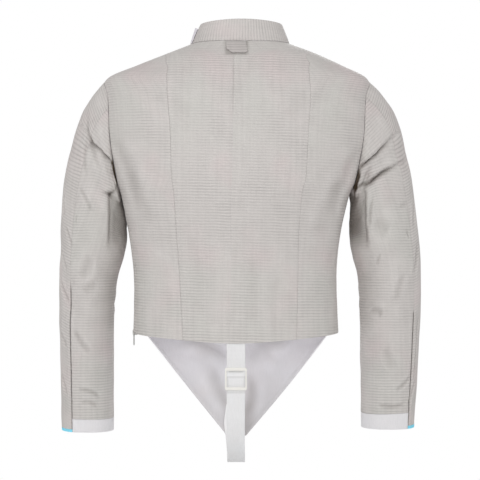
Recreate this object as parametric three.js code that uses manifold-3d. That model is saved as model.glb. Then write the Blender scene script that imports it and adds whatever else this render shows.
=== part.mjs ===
// Sabre electric jacket, a long-sleeved conductive over-jacket, worn and hollow.
// Millimetres, +Z up. The garment faces -Y, its left sleeve is at +X.
// The origin is in the neck opening, at the height of the collar seam.
import * as THREE from "three";
import { mergeVertices } from "three/addons/utils/BufferGeometryUtils.js";
import Module from "manifold-3d";

const wasm = await Module();
wasm.setup();

// Driving dimensions
const CLOTH = 2;
const WEBBING = 1.8;
const SEAM_GAP = 0.3;
const CHEST_POWER = 2.5;
const SLEEVE_POWER = 2.15;
const ARMHOLE_BACK = 12;
const ARMHOLE_FRONT = 17;
const ARMPIT_LEVEL = 4;
const SHOULDER_LEVEL = 8;
const PRINCESS_TOP = { left: 10.2, right: 10.3 };
const PRINCESS_END = 0.7;
const NECK_LEVEL = 11;
const ARMHOLE_STEPS = 10;
const SLEEVE_COLUMNS = 2 * ARMHOLE_STEPS;
const ARMHOLE_EASE = 3;
const ZIP_HALF_WIDTH = 4;
const ZIP_CHAIN_END = -497.6;
const STRAP_WIDTH = 30;
const STRAP_X = 3.2;
const DEGREE = Math.PI / 180;

function table(columns, ...rows) {
  return rows.map((row) => Object.fromEntries(columns.map((column, i) => [column, row[i]])));
}

// Rings round the body from hem to neck. A level is a row number here, whole or between rows.
const BODY_SECTIONS = table(
  ["at", "sideZ", "halfWidth", "middleX", "backY", "backZ", "frontY", "frontZ"],
  ["hem", -501, 175.6, 3.7, 116, -513, -110, -504],
  ["hip", -450, 174, 4.2, 112, -458, -107, -452],
  ["waist", -395, 174, 5, 108, -400, -107, -396],
  ["ribs", -333, 181.3, 5.8, 112, -334, -113, -333],
  ["armpit", -268, 195.1, 4.6, 118, -268, -120, -272],
  ["armhole low", -239, 206, 3, 118, -232, -119, -240],
  ["armhole middle", -168, 224, 2, 114, -165, -112, -192],
  ["armhole high", -97, 224.5, 2, 106, -112, -100, -152],
  ["shoulder point", -68, 223.5, 1.7, 98, -84, -90, -128],
  ["shoulder", -45.8, 178, -2.4, 88, -56, -80, -106],
  ["shoulder near neck", -25.6, 130, -5.6, 77, -32, -71, -88],
  ["neck seam", -8, 84, -5, 62, -8.5, -63, -74],
);

// Upper edge of the stand collar, as a ring of the same kind.
const COLLAR_TOP = {
  sideZ: 25, halfWidth: 70.5, middleX: -5.5, backY: 55, backZ: 29.5, frontY: -52, frontZ: -37,
};

// Where the seams run: angle from the left side, anticlockwise seen from above, by level.
const SEAM_ANGLES = table(
  ["princessLeft", "middleBack", "princessRight", "zip"],
  [51, 85.5, 134, -8],
  [49, 86, 136, -10],
  [47, 86.7, 137.8, -14],
  [47, 87.2, 137, -21],
  [47, 87, 136.2, -30],
  [45.5, 87.1, 137.5, -37],
  [44, 86.8, 138.6, -43],
  [40.4, 86.8, 142, -47],
  [37.6, 86.6, 143.5, -49],
  [30.8, 83.8, 147.7, -51],
  [10.7, 80.9, 160, -52],
  [-60, 79.3, 240, -52],
);

// Rings along a sleeve from armhole to cuff: the outer and the inner point, the half depth
// from front to back, the middle's place front to back, and how far both sleeves' outer and
// inner points are shifted towards the garment's left.
const SLEEVE_SECTIONS = table(
  ["outerX", "outerZ", "innerX", "innerZ", "halfDepth", "middleY", "outerShift", "innerShift"],
  [223.5, -68, 193.5, -268, 56, -9, 1.7, 1.7],
  [240.5, -84, 195.5, -279, 59, -11, 0.6, 1.7],
  [256.5, -103, 195, -291, 61, -14, -0.2, 1.2],
  [269.5, -124, 194, -303, 62, -17, -0.7, 0.6],
  [280.5, -152, 193, -317, 62, -20, -0.8, 0],
  [290, -186, 193, -332, 61, -23, -0.4, -0.3],
  [298.5, -222, 194.5, -350, 60, -26, 0, -0.4],
  [304.5, -260, 199, -372, 59, -29, -0.3, -0.4],
  [308.5, -300, 206.5, -397, 57, -31, -1.4, 0],
  [312, -342, 211, -423, 56, -33, -2.8, 0.8],
  [314.5, -385, 213.5, -452, 55, -34, -3.6, 1.8],
  [315, -430, 214.5, -483, 54, -35, -3.6, 2],
  [314.5, -475, 215, -515, 53, -36, -3.2, 1.8],
  [313, -520, 215, -549, 52, -37, -2.6, 1.6],
  [311.5, -565, 215.5, -584, 50, -38, -2, 1.4],
  [309.5, -610, 216, -620, 49, -39, -1, 1.2],
  [308, -655, 216, -656, 48, -40, 0, 1],
  [307, -679, 216.5, -680, 47.5, -40, 0, 0.8],
);

// Each sleeve's seams as columns of its ring, whole or between columns, and its ring numbers at
// the hems and the end.
const SLEEVES = {
  left: { sign: 1, rearSeam: 3.4, frontSeam: 13, underHem: 15.87, upperHem: 16.5, end: 16.74 },
  right: { sign: -1, rearSeam: 2.66, frontSeam: 12, underHem: 15.62, upperHem: 16.26, end: 16.5 },
};

// The largest folds of the sleeves: a soft trough from one point to another, given as degrees
// round from the outer line towards the back and as ring number.
const SLEEVE_FOLDS = table(
  ["side", "fromAngle", "fromRing", "toAngle", "toRing", "width", "depth"],
  ["left", 48, 3.7, 76, 3.0, 15, 5],
  ["left", 76, 3.0, 116, 1.5, 16, 6.5],
  ["left", 88, 5.2, 122, 2.6, 16, 4.5],
  ["left", 22, 9.6, 64, 11.2, 20, 3.5],
  ["left", 262, 3.4, 236, 1.6, 16, 5.5],
  ["left", 300, 8.4, 262, 9.3, 20, 4],
  ["right", 22, 5.2, 112, 2.6, 15, 6],
  ["right", 112, 2.6, 138, 1.0, 15, 6],
  ["right", 84, 4.5, 134, 2.1, 14, 4],
  ["right", 258, 3.8, 238, 1.8, 16, 5.5],
  ["right", 298, 7.8, 256, 9.0, 20, 4],
);
const SLEEVE_RADIUS = 52;
const RING_SPACING = 34;
const CUFF_RING_SPACING = 24;
const FOLD_FADE_RINGS = 0.8;
const SLEEVE_RINGS = [
  0, 0.5, 1, 1.5, 2, 2.5, 3, 3.5, 4, 4.5, 5, 5.6, 6.3, 7, 8, 9, 10, 11, 12, 13, 14, 15,
];

// Steps over which a surface's own direction is measured: degrees or columns, and levels or rings.
const BODY_NORMAL = { turn: 1.5, rise: 0.1 };
const SLEEVE_NORMAL = { turn: 1, rise: 0.4 };

// The stand collar: its angles, its overlap, and how its free end stands off.
const COLLAR = {
  fromAngle: -50, toAngle: 366, step: 8, rows: 3, lapStart: 280, lapEnd: 308, lapOut: 2.9,
  flareStart: 338, flareTop: 3.4, flareFoot: 0.6, endDrop: 5, seat: 0.7, lapRise: 0.5,
};

// The crotch flap: ends of its upper edge on the hem, its tip, and how far its edges swell.
const FLAP = {
  fromAngle: 342, toAngle: 196, tipLeft: 19.5, tipRight: -14.1, tipY: -62, tipZ: -688,
  swellLeft: 2, swellRight: 4.5,
  seat: 0.5, columns: 16, rows: 8,
};

// The strap's free route behind the flap, from the hem down through the buckle and round.
const STRAP_ROUTE = table(
  ["y", "z", "x"],
  [112, -522, 3.2],
  [109, -540, 3.2],
  [105.6, -553.5, 3.2],
  [105.4, -560, 3.2],
  [106.6, -566.5, 3.2],
  [106.6, -577.5, 3.2],
  [105.4, -584, 3.2],
  [105, -591.5, 3.2],
  [103, -612, 3.4],
  [98, -640, 3.6],
  [88, -668, 3.6],
  [72, -692, 3.4],
  [51, -710, 3.2],
  [27, -720, 3.2],
  [3, -721, 3.2],
  [-20, -715, 3.8],
  [-40, -703, 5],
  [-53, -692, 6.4],
);
const STRAP_HEM_TURN = 38;
const STRAP_HEM_STEPS = 3;
const STRAP_HEM_ROOM = 0.2;
const HEM_ROW_HEIGHT = 51;
const STRAP_STAND = 0.8;
const STRAP_SEWN = table(["z", "x"], [-681, 8], [-664, 9.6], [-647, 7.6], [-634, 6]);

// The slider buckle on the strap.
const BUCKLE = {
  width: 36, height: 37, depth: 4.8, rail: 2.6, bar: 5, corner: 3.2, innerCorner: 1,
  middleZ: -572, middleY: 106.4, frontRise: 2, barBack: 0.2, crossBar: 6.5, crossFront: -0.9,
  crossBack: -2.7,
};

// The zip slider and its pull tab at the hem.
const SLIDER = {
  plateWidth: 10, plateHeight: 10, plateCorner: 2.4, plate: 1.4, coreWidth: 7, coreHeight: 9.4,
  coreDepth: 3, coreLift: 0.5, bridgeWidth: 2.4, bridgeHeight: 8.8, bridgeRoom: 2, bridgeBar: 1.2,
  bridgeCorner: 1.2, bridgeInnerCorner: 0.6, bridgeSink: 0.4, middleZ: -503, seat: 0.7,
};
const PULL = {
  thickness: 1.2, bar: 0.6, windowWidth: 3.4, windowLength: 5.4, width: 6.4, waist: 5, length: 23,
  shoulder: 0.6, neck: 3,
};

// The cloth tab for the cord clip, under the collar at the middle of the back.
const TAB_OUTLINE = table(
  ["x", "z"],
  [19.6, -9.6], [19.6, -23.7], [10.2, -31.4], [-11.5, -31.4], [-15.4, -29.2], [-15.2, -26],
  [-12.7, -9.6],
);
const TAB_THICKNESS = 1.6;
const TAB_MIDDLE_X = 3.4;
const TAB_SLOPE = { low: 10.1, high: 10.9 };
const TAB_SEAT = { fromLevel: 10, fromAngle: 80, toAngle: 104, levelStep: 0.1, angleStep: 2 };

const MATERIALS = {
  lame: new THREE.MeshStandardMaterial({ color: 0xc3bfbb, roughness: 0.55, metalness: 0.4 }),
  white: new THREE.MeshStandardMaterial({ color: 0xdcdade, roughness: 0.85, metalness: 0 }),
  webbing: new THREE.MeshStandardMaterial({ color: 0xe6e5e6, roughness: 0.8, metalness: 0 }),
  blue: new THREE.MeshStandardMaterial({ color: 0x84cdf4, roughness: 0.75, metalness: 0 }),
  plastic: new THREE.MeshStandardMaterial({ color: 0xe2e2dc, roughness: 0.4, metalness: 0 }),
  zip: new THREE.MeshStandardMaterial({ color: 0xb4b4b0, roughness: 0.4, metalness: 0.7 }),
};

// A smooth curve through one column of a table, at a row number that may be fractional.
function smooth(rows, column, position) {
  const last = rows.length - 1;
  const i = Math.min(Math.max(Math.floor(position), 0), last - 1);
  const t = position - i;
  const value = (n) => rows[Math.min(Math.max(n, 0), last)][column];
  const before = i > 0 ? value(i - 1) : 2 * value(0) - value(1);
  const after = i < last - 1 ? value(i + 2) : 2 * value(last) - value(last - 1);
  const start = value(i);
  const end = value(i + 1);
  const slopeStart = (end - before) / 2;
  const slopeEnd = (after - start) / 2;
  const a = 2 * start - 2 * end + slopeStart + slopeEnd;
  const b = -3 * start + 3 * end - 2 * slopeStart - slopeEnd;
  return ((a * t + b) * t + slopeStart) * t + start;
}

// A point on a ring: a superellipse with its own depth at the back and at the front,
// whose height changes smoothly from the sides to the back and the front.
function ringPoint(ring, angle) {
  const c = Math.cos(angle * DEGREE);
  const s = Math.sin(angle * DEGREE);
  const depth = s > 0 ? ring.backY : -ring.frontY;
  const farZ = s > 0 ? ring.backZ : ring.frontZ;
  const sum = Math.abs(c / ring.halfWidth) ** CHEST_POWER + Math.abs(s / depth) ** CHEST_POWER;
  const radius = sum ** (-1 / CHEST_POWER);
  return new THREE.Vector3(
    ring.middleX + radius * c,
    radius * s,
    ring.sideZ + (farZ - ring.sideZ) * s * s,
  );
}

function bodyRing(level) {
  const columns = ["sideZ", "halfWidth", "middleX", "backY", "backZ", "frontY", "frontZ"];
  return Object.fromEntries(columns.map((column) => [column, smooth(BODY_SECTIONS, column, level)]));
}

function bodyPoint(angle, level) {
  return ringPoint(bodyRing(level), angle);
}

// The direction out of the body's surface, the same for every piece that meets there.
function bodyNormal(angle, level) {
  const { turn, rise } = BODY_NORMAL;
  const above = Math.min(level + rise, NECK_LEVEL);
  const across = bodyPoint(angle + turn, level).sub(bodyPoint(angle - turn, level));
  const along = bodyPoint(angle, above).sub(bodyPoint(angle, Math.max(level - rise, 0)));
  return across.cross(along).normalize();
}

const seamAngle = (seam) => (level) => smooth(SEAM_ANGLES, seam, level);

// How far an armhole's edge lies round from the side line at a level, zero outside the armhole.
function armhole(depth) {
  return (level) => {
    if (level <= ARMPIT_LEVEL || level >= SHOULDER_LEVEL) {
      return 0;
    }
    const share = (level - ARMPIT_LEVEL) / (SHOULDER_LEVEL - ARMPIT_LEVEL);
    return depth * Math.sin(Math.PI * share);
  };
}
const armholeBack = armhole(ARMHOLE_BACK);
const armholeFront = armhole(ARMHOLE_FRONT);

// Directions out of a grid of points: the columns' direction crossed with the rows'.
function gridNormals(grid, side) {
  const rows = grid.length;
  const columns = grid[0].length;
  return grid.map((row, i) => row.map((point, j) => {
    const across = row[Math.min(j + 1, columns - 1)].clone().sub(row[Math.max(j - 1, 0)]);
    const above = grid[Math.min(i + 1, rows - 1)][j];
    const along = above.clone().sub(grid[Math.max(i - 1, 0)][j]);
    return across.cross(along).normalize().multiplyScalar(side);
  }));
}

// A cloth wall: the grid is its outer face, the inner face lies one thickness inside.
function wall(name, material, grid, thickness, side = 1, normals = gridNormals(grid, side)) {
  const rows = grid.length;
  const columns = grid[0].length;
  const inner = grid.map((row, i) => row.map(
    (point, j) => point.clone().addScaledVector(normals[i][j], -thickness),
  ));
  const positions = [...grid.flat(), ...inner.flat()].flatMap((point) => point.toArray());
  const outerAt = (i, j) => i * columns + j;
  const innerAt = (i, j) => rows * columns + outerAt(i, j);
  const faces = [];
  const quad = (a, b, c, d) => {
    if (side > 0) {
      faces.push(a, b, c, a, c, d);
    } else {
      faces.push(a, c, b, a, d, c);
    }
  };
  for (let i = 0; i < rows - 1; i += 1) {
    for (let j = 0; j < columns - 1; j += 1) {
      quad(outerAt(i, j), outerAt(i, j + 1), outerAt(i + 1, j + 1), outerAt(i + 1, j));
      quad(innerAt(i, j), innerAt(i + 1, j), innerAt(i + 1, j + 1), innerAt(i, j + 1));
    }
    quad(outerAt(i, 0), outerAt(i + 1, 0), innerAt(i + 1, 0), innerAt(i, 0));
    const last = columns - 1;
    quad(outerAt(i, last), innerAt(i, last), innerAt(i + 1, last), outerAt(i + 1, last));
  }
  for (let j = 0; j < columns - 1; j += 1) {
    const top = rows - 1;
    quad(outerAt(0, j), innerAt(0, j), innerAt(0, j + 1), outerAt(0, j + 1));
    quad(outerAt(top, j), outerAt(top, j + 1), innerAt(top, j + 1), innerAt(top, j));
  }
  const geometry = new THREE.BufferGeometry();
  geometry.setAttribute("position", new THREE.Float32BufferAttribute(positions, 3));
  geometry.setIndex(faces);
  return named(name, material, geometry);
}

function named(name, material, geometry) {
  const mesh = new THREE.Mesh(geometry, material);
  mesh.name = name;
  return mesh;
}

// Moves one edge column of a grid into the panel, square to the seam, by its share of the gap.
function drawBackEdge(grid, normals, edge, gap) {
  const rows = grid.length;
  const inside = edge === 0 ? 1 : edge - 1;
  const moved = grid.map((row, i) => {
    const above = grid[Math.min(i + 1, rows - 1)][edge];
    const along = above.clone().sub(grid[Math.max(i - 1, 0)][edge]);
    const inward = along.cross(normals[i][edge]).normalize();
    if (inward.dot(row[inside].clone().sub(row[edge])) < 0) {
      inward.negate();
    }
    return row[edge].clone().addScaledVector(inward, gap);
  });
  grid.forEach((row, i) => {
    row[edge] = moved[i];
  });
}

// Levels of the body's rings: even below the armpit, as the armhole needs above it.
const BODY_LEVELS = [0, 0.4, 0.8, 1.2, 1.6, 2, 2.5, 3, 3.5];
for (let step = 0; step <= ARMHOLE_STEPS; step += 1) {
  const share = step / ARMHOLE_STEPS;
  BODY_LEVELS.push(ARMPIT_LEVEL + (SHOULDER_LEVEL - ARMPIT_LEVEL) * share);
}
BODY_LEVELS.push(8.5, 9, 9.5, 9.8, 10, 10.1, PRINCESS_TOP.left, PRINCESS_TOP.right, 10.6, NECK_LEVEL);

// One cut piece of the body, between two seams given as angles by level.
function bodyPanel(name, piece) {
  const levels = BODY_LEVELS.filter((level) => level <= (piece.top ?? NECK_LEVEL));
  const angles = levels.map((level) => {
    const from = piece.from(level);
    const to = piece.to(level);
    const steps = Array.from({ length: piece.columns + 1 }, (_, j) => j / piece.columns);
    return steps.map((share) => from + (to - from) * share);
  });
  const grid = angles.map((row, i) => row.map((angle) => bodyPoint(angle, levels[i])));
  const normals = angles.map((row, i) => row.map((angle) => bodyNormal(angle, levels[i])));
  drawBackEdge(grid, normals, 0, piece.fromGap ?? SEAM_GAP / 2);
  drawBackEdge(grid, normals, piece.columns, piece.toGap ?? SEAM_GAP / 2);
  return wall(name, MATERIALS.lame, grid, CLOTH, 1, normals);
}

const leftSideToBack = (level) => armholeBack(level);
const rightSideToBack = (level) => 180 - armholeBack(level);
const rightSideToFront = (level) => 180 + armholeFront(level);
const leftSideToFront = (level) => 360 - armholeFront(level);
const zipLine = (level) => 360 + seamAngle("zip")(level);

// The princess seams run out into the shoulder seam, where the side backs end narrow.
function princessLeft(level) {
  const angle = seamAngle("princessLeft")(level);
  return level > PRINCESS_TOP.left ? 0 : Math.max(angle, PRINCESS_END);
}

function princessRight(level) {
  const angle = seamAngle("princessRight")(level);
  return level > PRINCESS_TOP.right ? 180 : Math.min(angle, 180 - PRINCESS_END);
}

function body() {
  const zipGap = ZIP_HALF_WIDTH + SEAM_GAP / 2;
  const chainReach = ZIP_HALF_WIDTH - SEAM_GAP / 2;
  return [
    bodyPanel("back_side_left", {
      from: leftSideToBack, to: princessLeft, columns: 5, top: PRINCESS_TOP.left,
    }),
    bodyPanel("back_centre_left", { from: princessLeft, to: seamAngle("middleBack"), columns: 5 }),
    bodyPanel("back_centre_right", { from: seamAngle("middleBack"), to: princessRight, columns: 5 }),
    bodyPanel("back_side_right", {
      from: princessRight, to: rightSideToBack, columns: 5, top: PRINCESS_TOP.right,
    }),
    bodyPanel("front_main", { from: rightSideToFront, to: zipLine, columns: 13, toGap: zipGap }),
    bodyPanel("front_side_left", {
      from: zipLine, to: leftSideToFront, columns: 4, fromGap: zipGap,
    }),
    zipChain(chainReach),
  ];
}

// The closed zip between the two fronts: a strip on the zip line.
function zipChain(reach) {
  const middle = BODY_LEVELS.map((level) => bodyPoint(zipLine(level), level));
  const normals = BODY_LEVELS.map((level) => {
    const normal = bodyNormal(zipLine(level), level);
    return [normal, normal, normal];
  });
  const grid = middle.map((point, i) => {
    const along = middle[Math.min(i + 1, middle.length - 1)].clone().sub(middle[Math.max(i - 1, 0)]);
    const across = along.cross(normals[i][0]).normalize().multiplyScalar(reach);
    return [point.clone().sub(across), point, point.clone().add(across)];
  });
  return wall("zip_chain", MATERIALS.zip, trimmedAbove(grid, ZIP_CHAIN_END), CLOTH, 1, normals);
}

// Lifts the lowest row of a strip to a height, along its columns.
function trimmedAbove(grid, height) {
  grid[0] = grid[0].map((point, j) => {
    const next = grid[1][j];
    return point.clone().lerp(next, (height - point.z) / (next.z - point.z));
  });
  return grid;
}

function armholeLoop(sign) {
  const loop = [];
  for (let k = 0; k < SLEEVE_COLUMNS; k += 1) {
    const back = k <= ARMHOLE_STEPS;
    const step = back ? ARMHOLE_STEPS - k : k - ARMHOLE_STEPS;
    const level = ARMPIT_LEVEL + ((SHOULDER_LEVEL - ARMPIT_LEVEL) * step) / ARMHOLE_STEPS;
    const turn = back ? armholeBack(level) : -armholeFront(level);
    const point = bodyPoint(sign > 0 ? turn : 180 - turn, level);
    point.x += sign * SEAM_GAP;
    loop.push(point);
  }
  return loop;
}

// A point of a sleeve's plain tube: degrees round from the outer line towards the back.
function tubePoint(sign, angle, ring) {
  const at = (column) => smooth(SLEEVE_SECTIONS, column, ring);
  const rounded = (value) => Math.sign(value) * Math.abs(value) ** (2 / SLEEVE_POWER);
  const c = rounded(Math.cos(angle * DEGREE));
  const s = rounded(Math.sin(angle * DEGREE));
  const outerX = at("outerX") + sign * at("outerShift");
  const innerX = at("innerX") + sign * at("innerShift");
  const x = (outerX + innerX) / 2 + ((outerX - innerX) / 2) * c;
  const z = (at("outerZ") + at("innerZ")) / 2 + ((at("outerZ") - at("innerZ")) / 2) * c;
  return new THREE.Vector3(sign * x, at("middleY") + at("halfDepth") * s, z);
}

// Depth of the fold troughs at a place on a sleeve.
function foldDepth(side, angle, ring) {
  let depth = 0;
  for (const fold of SLEEVE_FOLDS.filter((row) => row.side === side)) {
    const turn = ((angle - fold.fromAngle + 540) % 360) - 180;
    const px = turn * DEGREE * SLEEVE_RADIUS;
    const py = (ring - fold.fromRing) * RING_SPACING;
    const dx = (fold.toAngle - fold.fromAngle) * DEGREE * SLEEVE_RADIUS;
    const dy = (fold.toRing - fold.fromRing) * RING_SPACING;
    const share = Math.min(Math.max((px * dx + py * dy) / (dx * dx + dy * dy), 0), 1);
    const away = Math.hypot(px - dx * share, py - dy * share);
    depth += fold.depth * Math.exp(-((away / fold.width) ** 2));
  }
  return depth;
}

// A place on the armhole's own loop, on the straight line between two of its points.
function loopPoint(loop, column) {
  const k = Math.floor(column);
  return loop[k].clone().lerp(loop[(k + 1) % SLEEVE_COLUMNS], column - k);
}

// The tube meets the armhole's own loop and eases into the plain rings within three of them.
function sleevePoint(side, loop, column, ring) {
  const { sign } = SLEEVES[side];
  const k = ((column % SLEEVE_COLUMNS) + SLEEVE_COLUMNS) % SLEEVE_COLUMNS;
  const angle = (360 / SLEEVE_COLUMNS) * k;
  const point = tubePoint(sign, angle, ring);
  const ease = Math.max(1 - ring / ARMHOLE_EASE, 0) ** 2;
  point.addScaledVector(loopPoint(loop, k).sub(tubePoint(sign, angle, 0)), ease);
  const middle = tubePoint(sign, 0, ring).add(tubePoint(sign, 180, ring)).multiplyScalar(0.5);
  const fade = Math.min(ring / FOLD_FADE_RINGS, 1);
  const inward = middle.sub(point).normalize();
  return point.addScaledVector(inward, foldDepth(side, angle, ring) * fade);
}

// The direction out of a sleeve, the same for every piece that meets there.
function sleeveNormal(side, loop, column, ring) {
  const { turn, rise } = SLEEVE_NORMAL;
  const before = sleevePoint(side, loop, column - turn, ring);
  const across = sleevePoint(side, loop, column + turn, ring).sub(before);
  const nearer = sleevePoint(side, loop, column, Math.max(ring - rise, 0));
  const along = sleevePoint(side, loop, column, ring + rise).sub(nearer);
  return across.cross(along).normalize().multiplyScalar(-SLEEVES[side].sign);
}

// One cut piece of a sleeve, between two seams given as columns and two rings.
function sleevePanel(name, side, piece) {
  const { sign, underHem, upperHem } = SLEEVES[side];
  const loop = armholeLoop(sign);
  const between = (ring) => ring > piece.from && ring < piece.to;
  const inside = [...SLEEVE_RINGS, underHem, upperHem].filter(between);
  const rings = [piece.from, ...inside, piece.to];
  const columns = [piece.first];
  for (let column = Math.floor(piece.first) + 1; column < piece.last; column += 1) {
    columns.push(column);
  }
  columns.push(piece.last);
  const rows = (at) => rings.map((ring) => columns.map((column) => at(side, loop, column, ring)));
  const grid = rows(sleevePoint);
  const normals = rows(sleeveNormal);
  drawBackEdge(grid, normals, 0, SEAM_GAP / 2);
  drawBackEdge(grid, normals, columns.length - 1, SEAM_GAP / 2);
  return wall(name, piece.material, grid, CLOTH, -sign, normals);
}

function sleeve(side) {
  const { rearSeam, frontSeam, underHem, upperHem, end } = SLEEVES[side];
  const gap = SEAM_GAP / CUFF_RING_SPACING;
  const upper = { first: frontSeam, last: rearSeam + SLEEVE_COLUMNS };
  const under = { first: rearSeam, last: frontSeam };
  return [
    sleevePanel(`sleeve_upper_${side}`, side, {
      ...upper, from: 0, to: upperHem, material: MATERIALS.lame,
    }),
    sleevePanel(`sleeve_under_${side}`, side, {
      ...under, from: 0, to: underHem, material: MATERIALS.lame,
    }),
    sleevePanel(`cuff_edge_${side}`, side, {
      ...upper, from: upperHem + gap, to: end, material: MATERIALS.blue,
    }),
    sleevePanel(`cuff_band_${side}`, side, {
      ...under, from: underHem + gap, to: end, material: MATERIALS.white,
    }),
  ];
}

function ramp(value, from, to) {
  const share = Math.min(Math.max((value - from) / (to - from), 0), 1);
  return share * share * (3 - 2 * share);
}

// The stand collar runs once round from the zip and laps over its own start, standing off.
function collarPoint(angle, height) {
  const foot = bodyPoint(angle, NECK_LEVEL);
  const top = ringPoint(COLLAR_TOP, angle);
  const rise = top.clone().sub(foot).normalize();
  const lap = ramp(angle, COLLAR.lapStart, COLLAR.lapEnd) * COLLAR.lapOut;
  foot.addScaledVector(rise, COLLAR.seat + COLLAR.lapRise * lap);
  const flare = ramp(angle, COLLAR.flareStart, COLLAR.toAngle);
  top.addScaledVector(rise, -COLLAR.endDrop * flare);
  const point = foot.lerp(top, height);
  const out = new THREE.Vector3(Math.cos(angle * DEGREE), Math.sin(angle * DEGREE), 0);
  const flareOut = COLLAR.flareFoot + (COLLAR.flareTop - COLLAR.flareFoot) * height;
  return point.addScaledVector(out, lap + flare * flareOut);
}

function collar() {
  const columns = Math.round((COLLAR.toAngle - COLLAR.fromAngle) / COLLAR.step);
  const grid = [];
  for (let i = 0; i <= COLLAR.rows; i += 1) {
    const row = [];
    for (let j = 0; j <= columns; j += 1) {
      const angle = COLLAR.fromAngle + ((COLLAR.toAngle - COLLAR.fromAngle) * j) / columns;
      row.push(collarPoint(angle, i / COLLAR.rows));
    }
    grid.push(row);
  }
  return wall("collar", MATERIALS.lame, grid, CLOTH);
}

// The crotch flap: straight lines from the front of the hem down to the tip.
function flapPoint(across, down) {
  const angle = FLAP.fromAngle + (FLAP.toAngle - FLAP.fromAngle) * across;
  const top = bodyPoint(angle, 0);
  top.z -= FLAP.seat;
  const tipX = FLAP.tipLeft + (FLAP.tipRight - FLAP.tipLeft) * across;
  const tip = new THREE.Vector3(tipX, FLAP.tipY, FLAP.tipZ);
  const frontY = bodyPoint(270, 0).y;
  const curve = top.y - frontY;
  const point = top.lerp(tip, down);
  point.y = frontY + (FLAP.tipY - frontY) * down + curve * (1 - down) ** 2;
  const edge = (1 - 2 * across) ** 3;
  const swell = edge > 0 ? FLAP.swellLeft : FLAP.swellRight;
  point.x += edge * swell * Math.sin(Math.PI * down);
  return point;
}

function flap() {
  const { columns, rows } = FLAP;
  const grid = [];
  for (let i = 0; i <= rows; i += 1) {
    const row = [];
    for (let j = 0; j <= columns; j += 1) {
      row.push(flapPoint(j / columns, i / rows));
    }
    grid.push(row);
  }
  const normals = gridNormals(grid, 1);
  normals[0].forEach((normal) => normal.setZ(0).normalize());
  return wall("crotch_flap", MATERIALS.white, grid, CLOTH, 1, normals);
}

// Height down the flap's middle line to its place front to back, on the inner face.
function flapInnerY(z) {
  const top = bodyPoint(270, 0);
  const share = (z - top.z) / (FLAP.tipZ - top.z);
  return top.y + (FLAP.tipY - top.y) * share + CLOTH;
}

function crotchStrap() {
  const half = STRAP_WIDTH / 2;
  const lie = SEAM_GAP + WEBBING / 2;
  const route = [];
  for (let turn = 0; turn <= STRAP_HEM_STEPS; turn += 1) {
    const level = (STRAP_HEM_TURN / HEM_ROW_HEIGHT) * (1 - turn / STRAP_HEM_STEPS);
    const back = bodyPoint(90, level);
    route.push({ x: STRAP_X, y: back.y - CLOTH - lie - STRAP_HEM_ROOM, z: back.z });
  }
  route.push(...STRAP_ROUTE);
  route.push(...STRAP_SEWN.map(({ x, z }) => ({ x, y: flapInnerY(z) + lie + STRAP_STAND, z })));
  const middle = route.map(({ x, y, z }) => new THREE.Vector3(x, y, z));
  const grid = middle.map((point, i) => {
    const next = middle[Math.min(i + 1, middle.length - 1)];
    const along = next.clone().sub(middle[Math.max(i - 1, 0)]).setX(0).normalize();
    const out = new THREE.Vector3(0, -along.z, along.y).multiplyScalar(WEBBING / 2);
    return [half, -half].map((x) => point.clone().add(out).setX(point.x + x));
  });
  return wall("crotch_strap", MATERIALS.webbing, grid, WEBBING, -1);
}

// Solids for joining and cutting.
function solidOf(geometry) {
  const plain = geometry.clone();
  plain.deleteAttribute("normal");
  plain.deleteAttribute("uv");
  const merged = mergeVertices(plain, 1e-4);
  return new wasm.Manifold(new wasm.Mesh({
    numProp: 3,
    vertProperties: Float32Array.from(merged.attributes.position.array),
    triVerts: Uint32Array.from(merged.index.array),
  }));
}

function geometryOf(solid) {
  const mesh = solid.getMesh();
  const geometry = new THREE.BufferGeometry();
  geometry.setAttribute("position", new THREE.BufferAttribute(mesh.vertProperties, 3));
  geometry.setIndex(new THREE.BufferAttribute(mesh.triVerts, 1));
  return geometry;
}

function roundedRectangle(width, height, radius, outline = new THREE.Shape()) {
  const x = width / 2;
  const y = height / 2;
  outline.moveTo(-x + radius, -y);
  outline.lineTo(x - radius, -y);
  outline.absarc(x - radius, -y + radius, radius, -Math.PI / 2, 0);
  outline.lineTo(x, y - radius);
  outline.absarc(x - radius, y - radius, radius, 0, Math.PI / 2);
  outline.lineTo(-x + radius, y);
  outline.absarc(-x + radius, y - radius, radius, Math.PI / 2, Math.PI);
  outline.lineTo(-x, -y + radius);
  outline.absarc(-x + radius, -y + radius, radius, Math.PI, 1.5 * Math.PI);
  return outline;
}

function extruded(shape, depth) {
  return new THREE.ExtrudeGeometry(shape, { depth, bevelEnabled: false, curveSegments: 4 });
}

function box(width, depth, height, x, y, z) {
  return new THREE.BoxGeometry(width, depth, height).translate(x, y, z);
}

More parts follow.
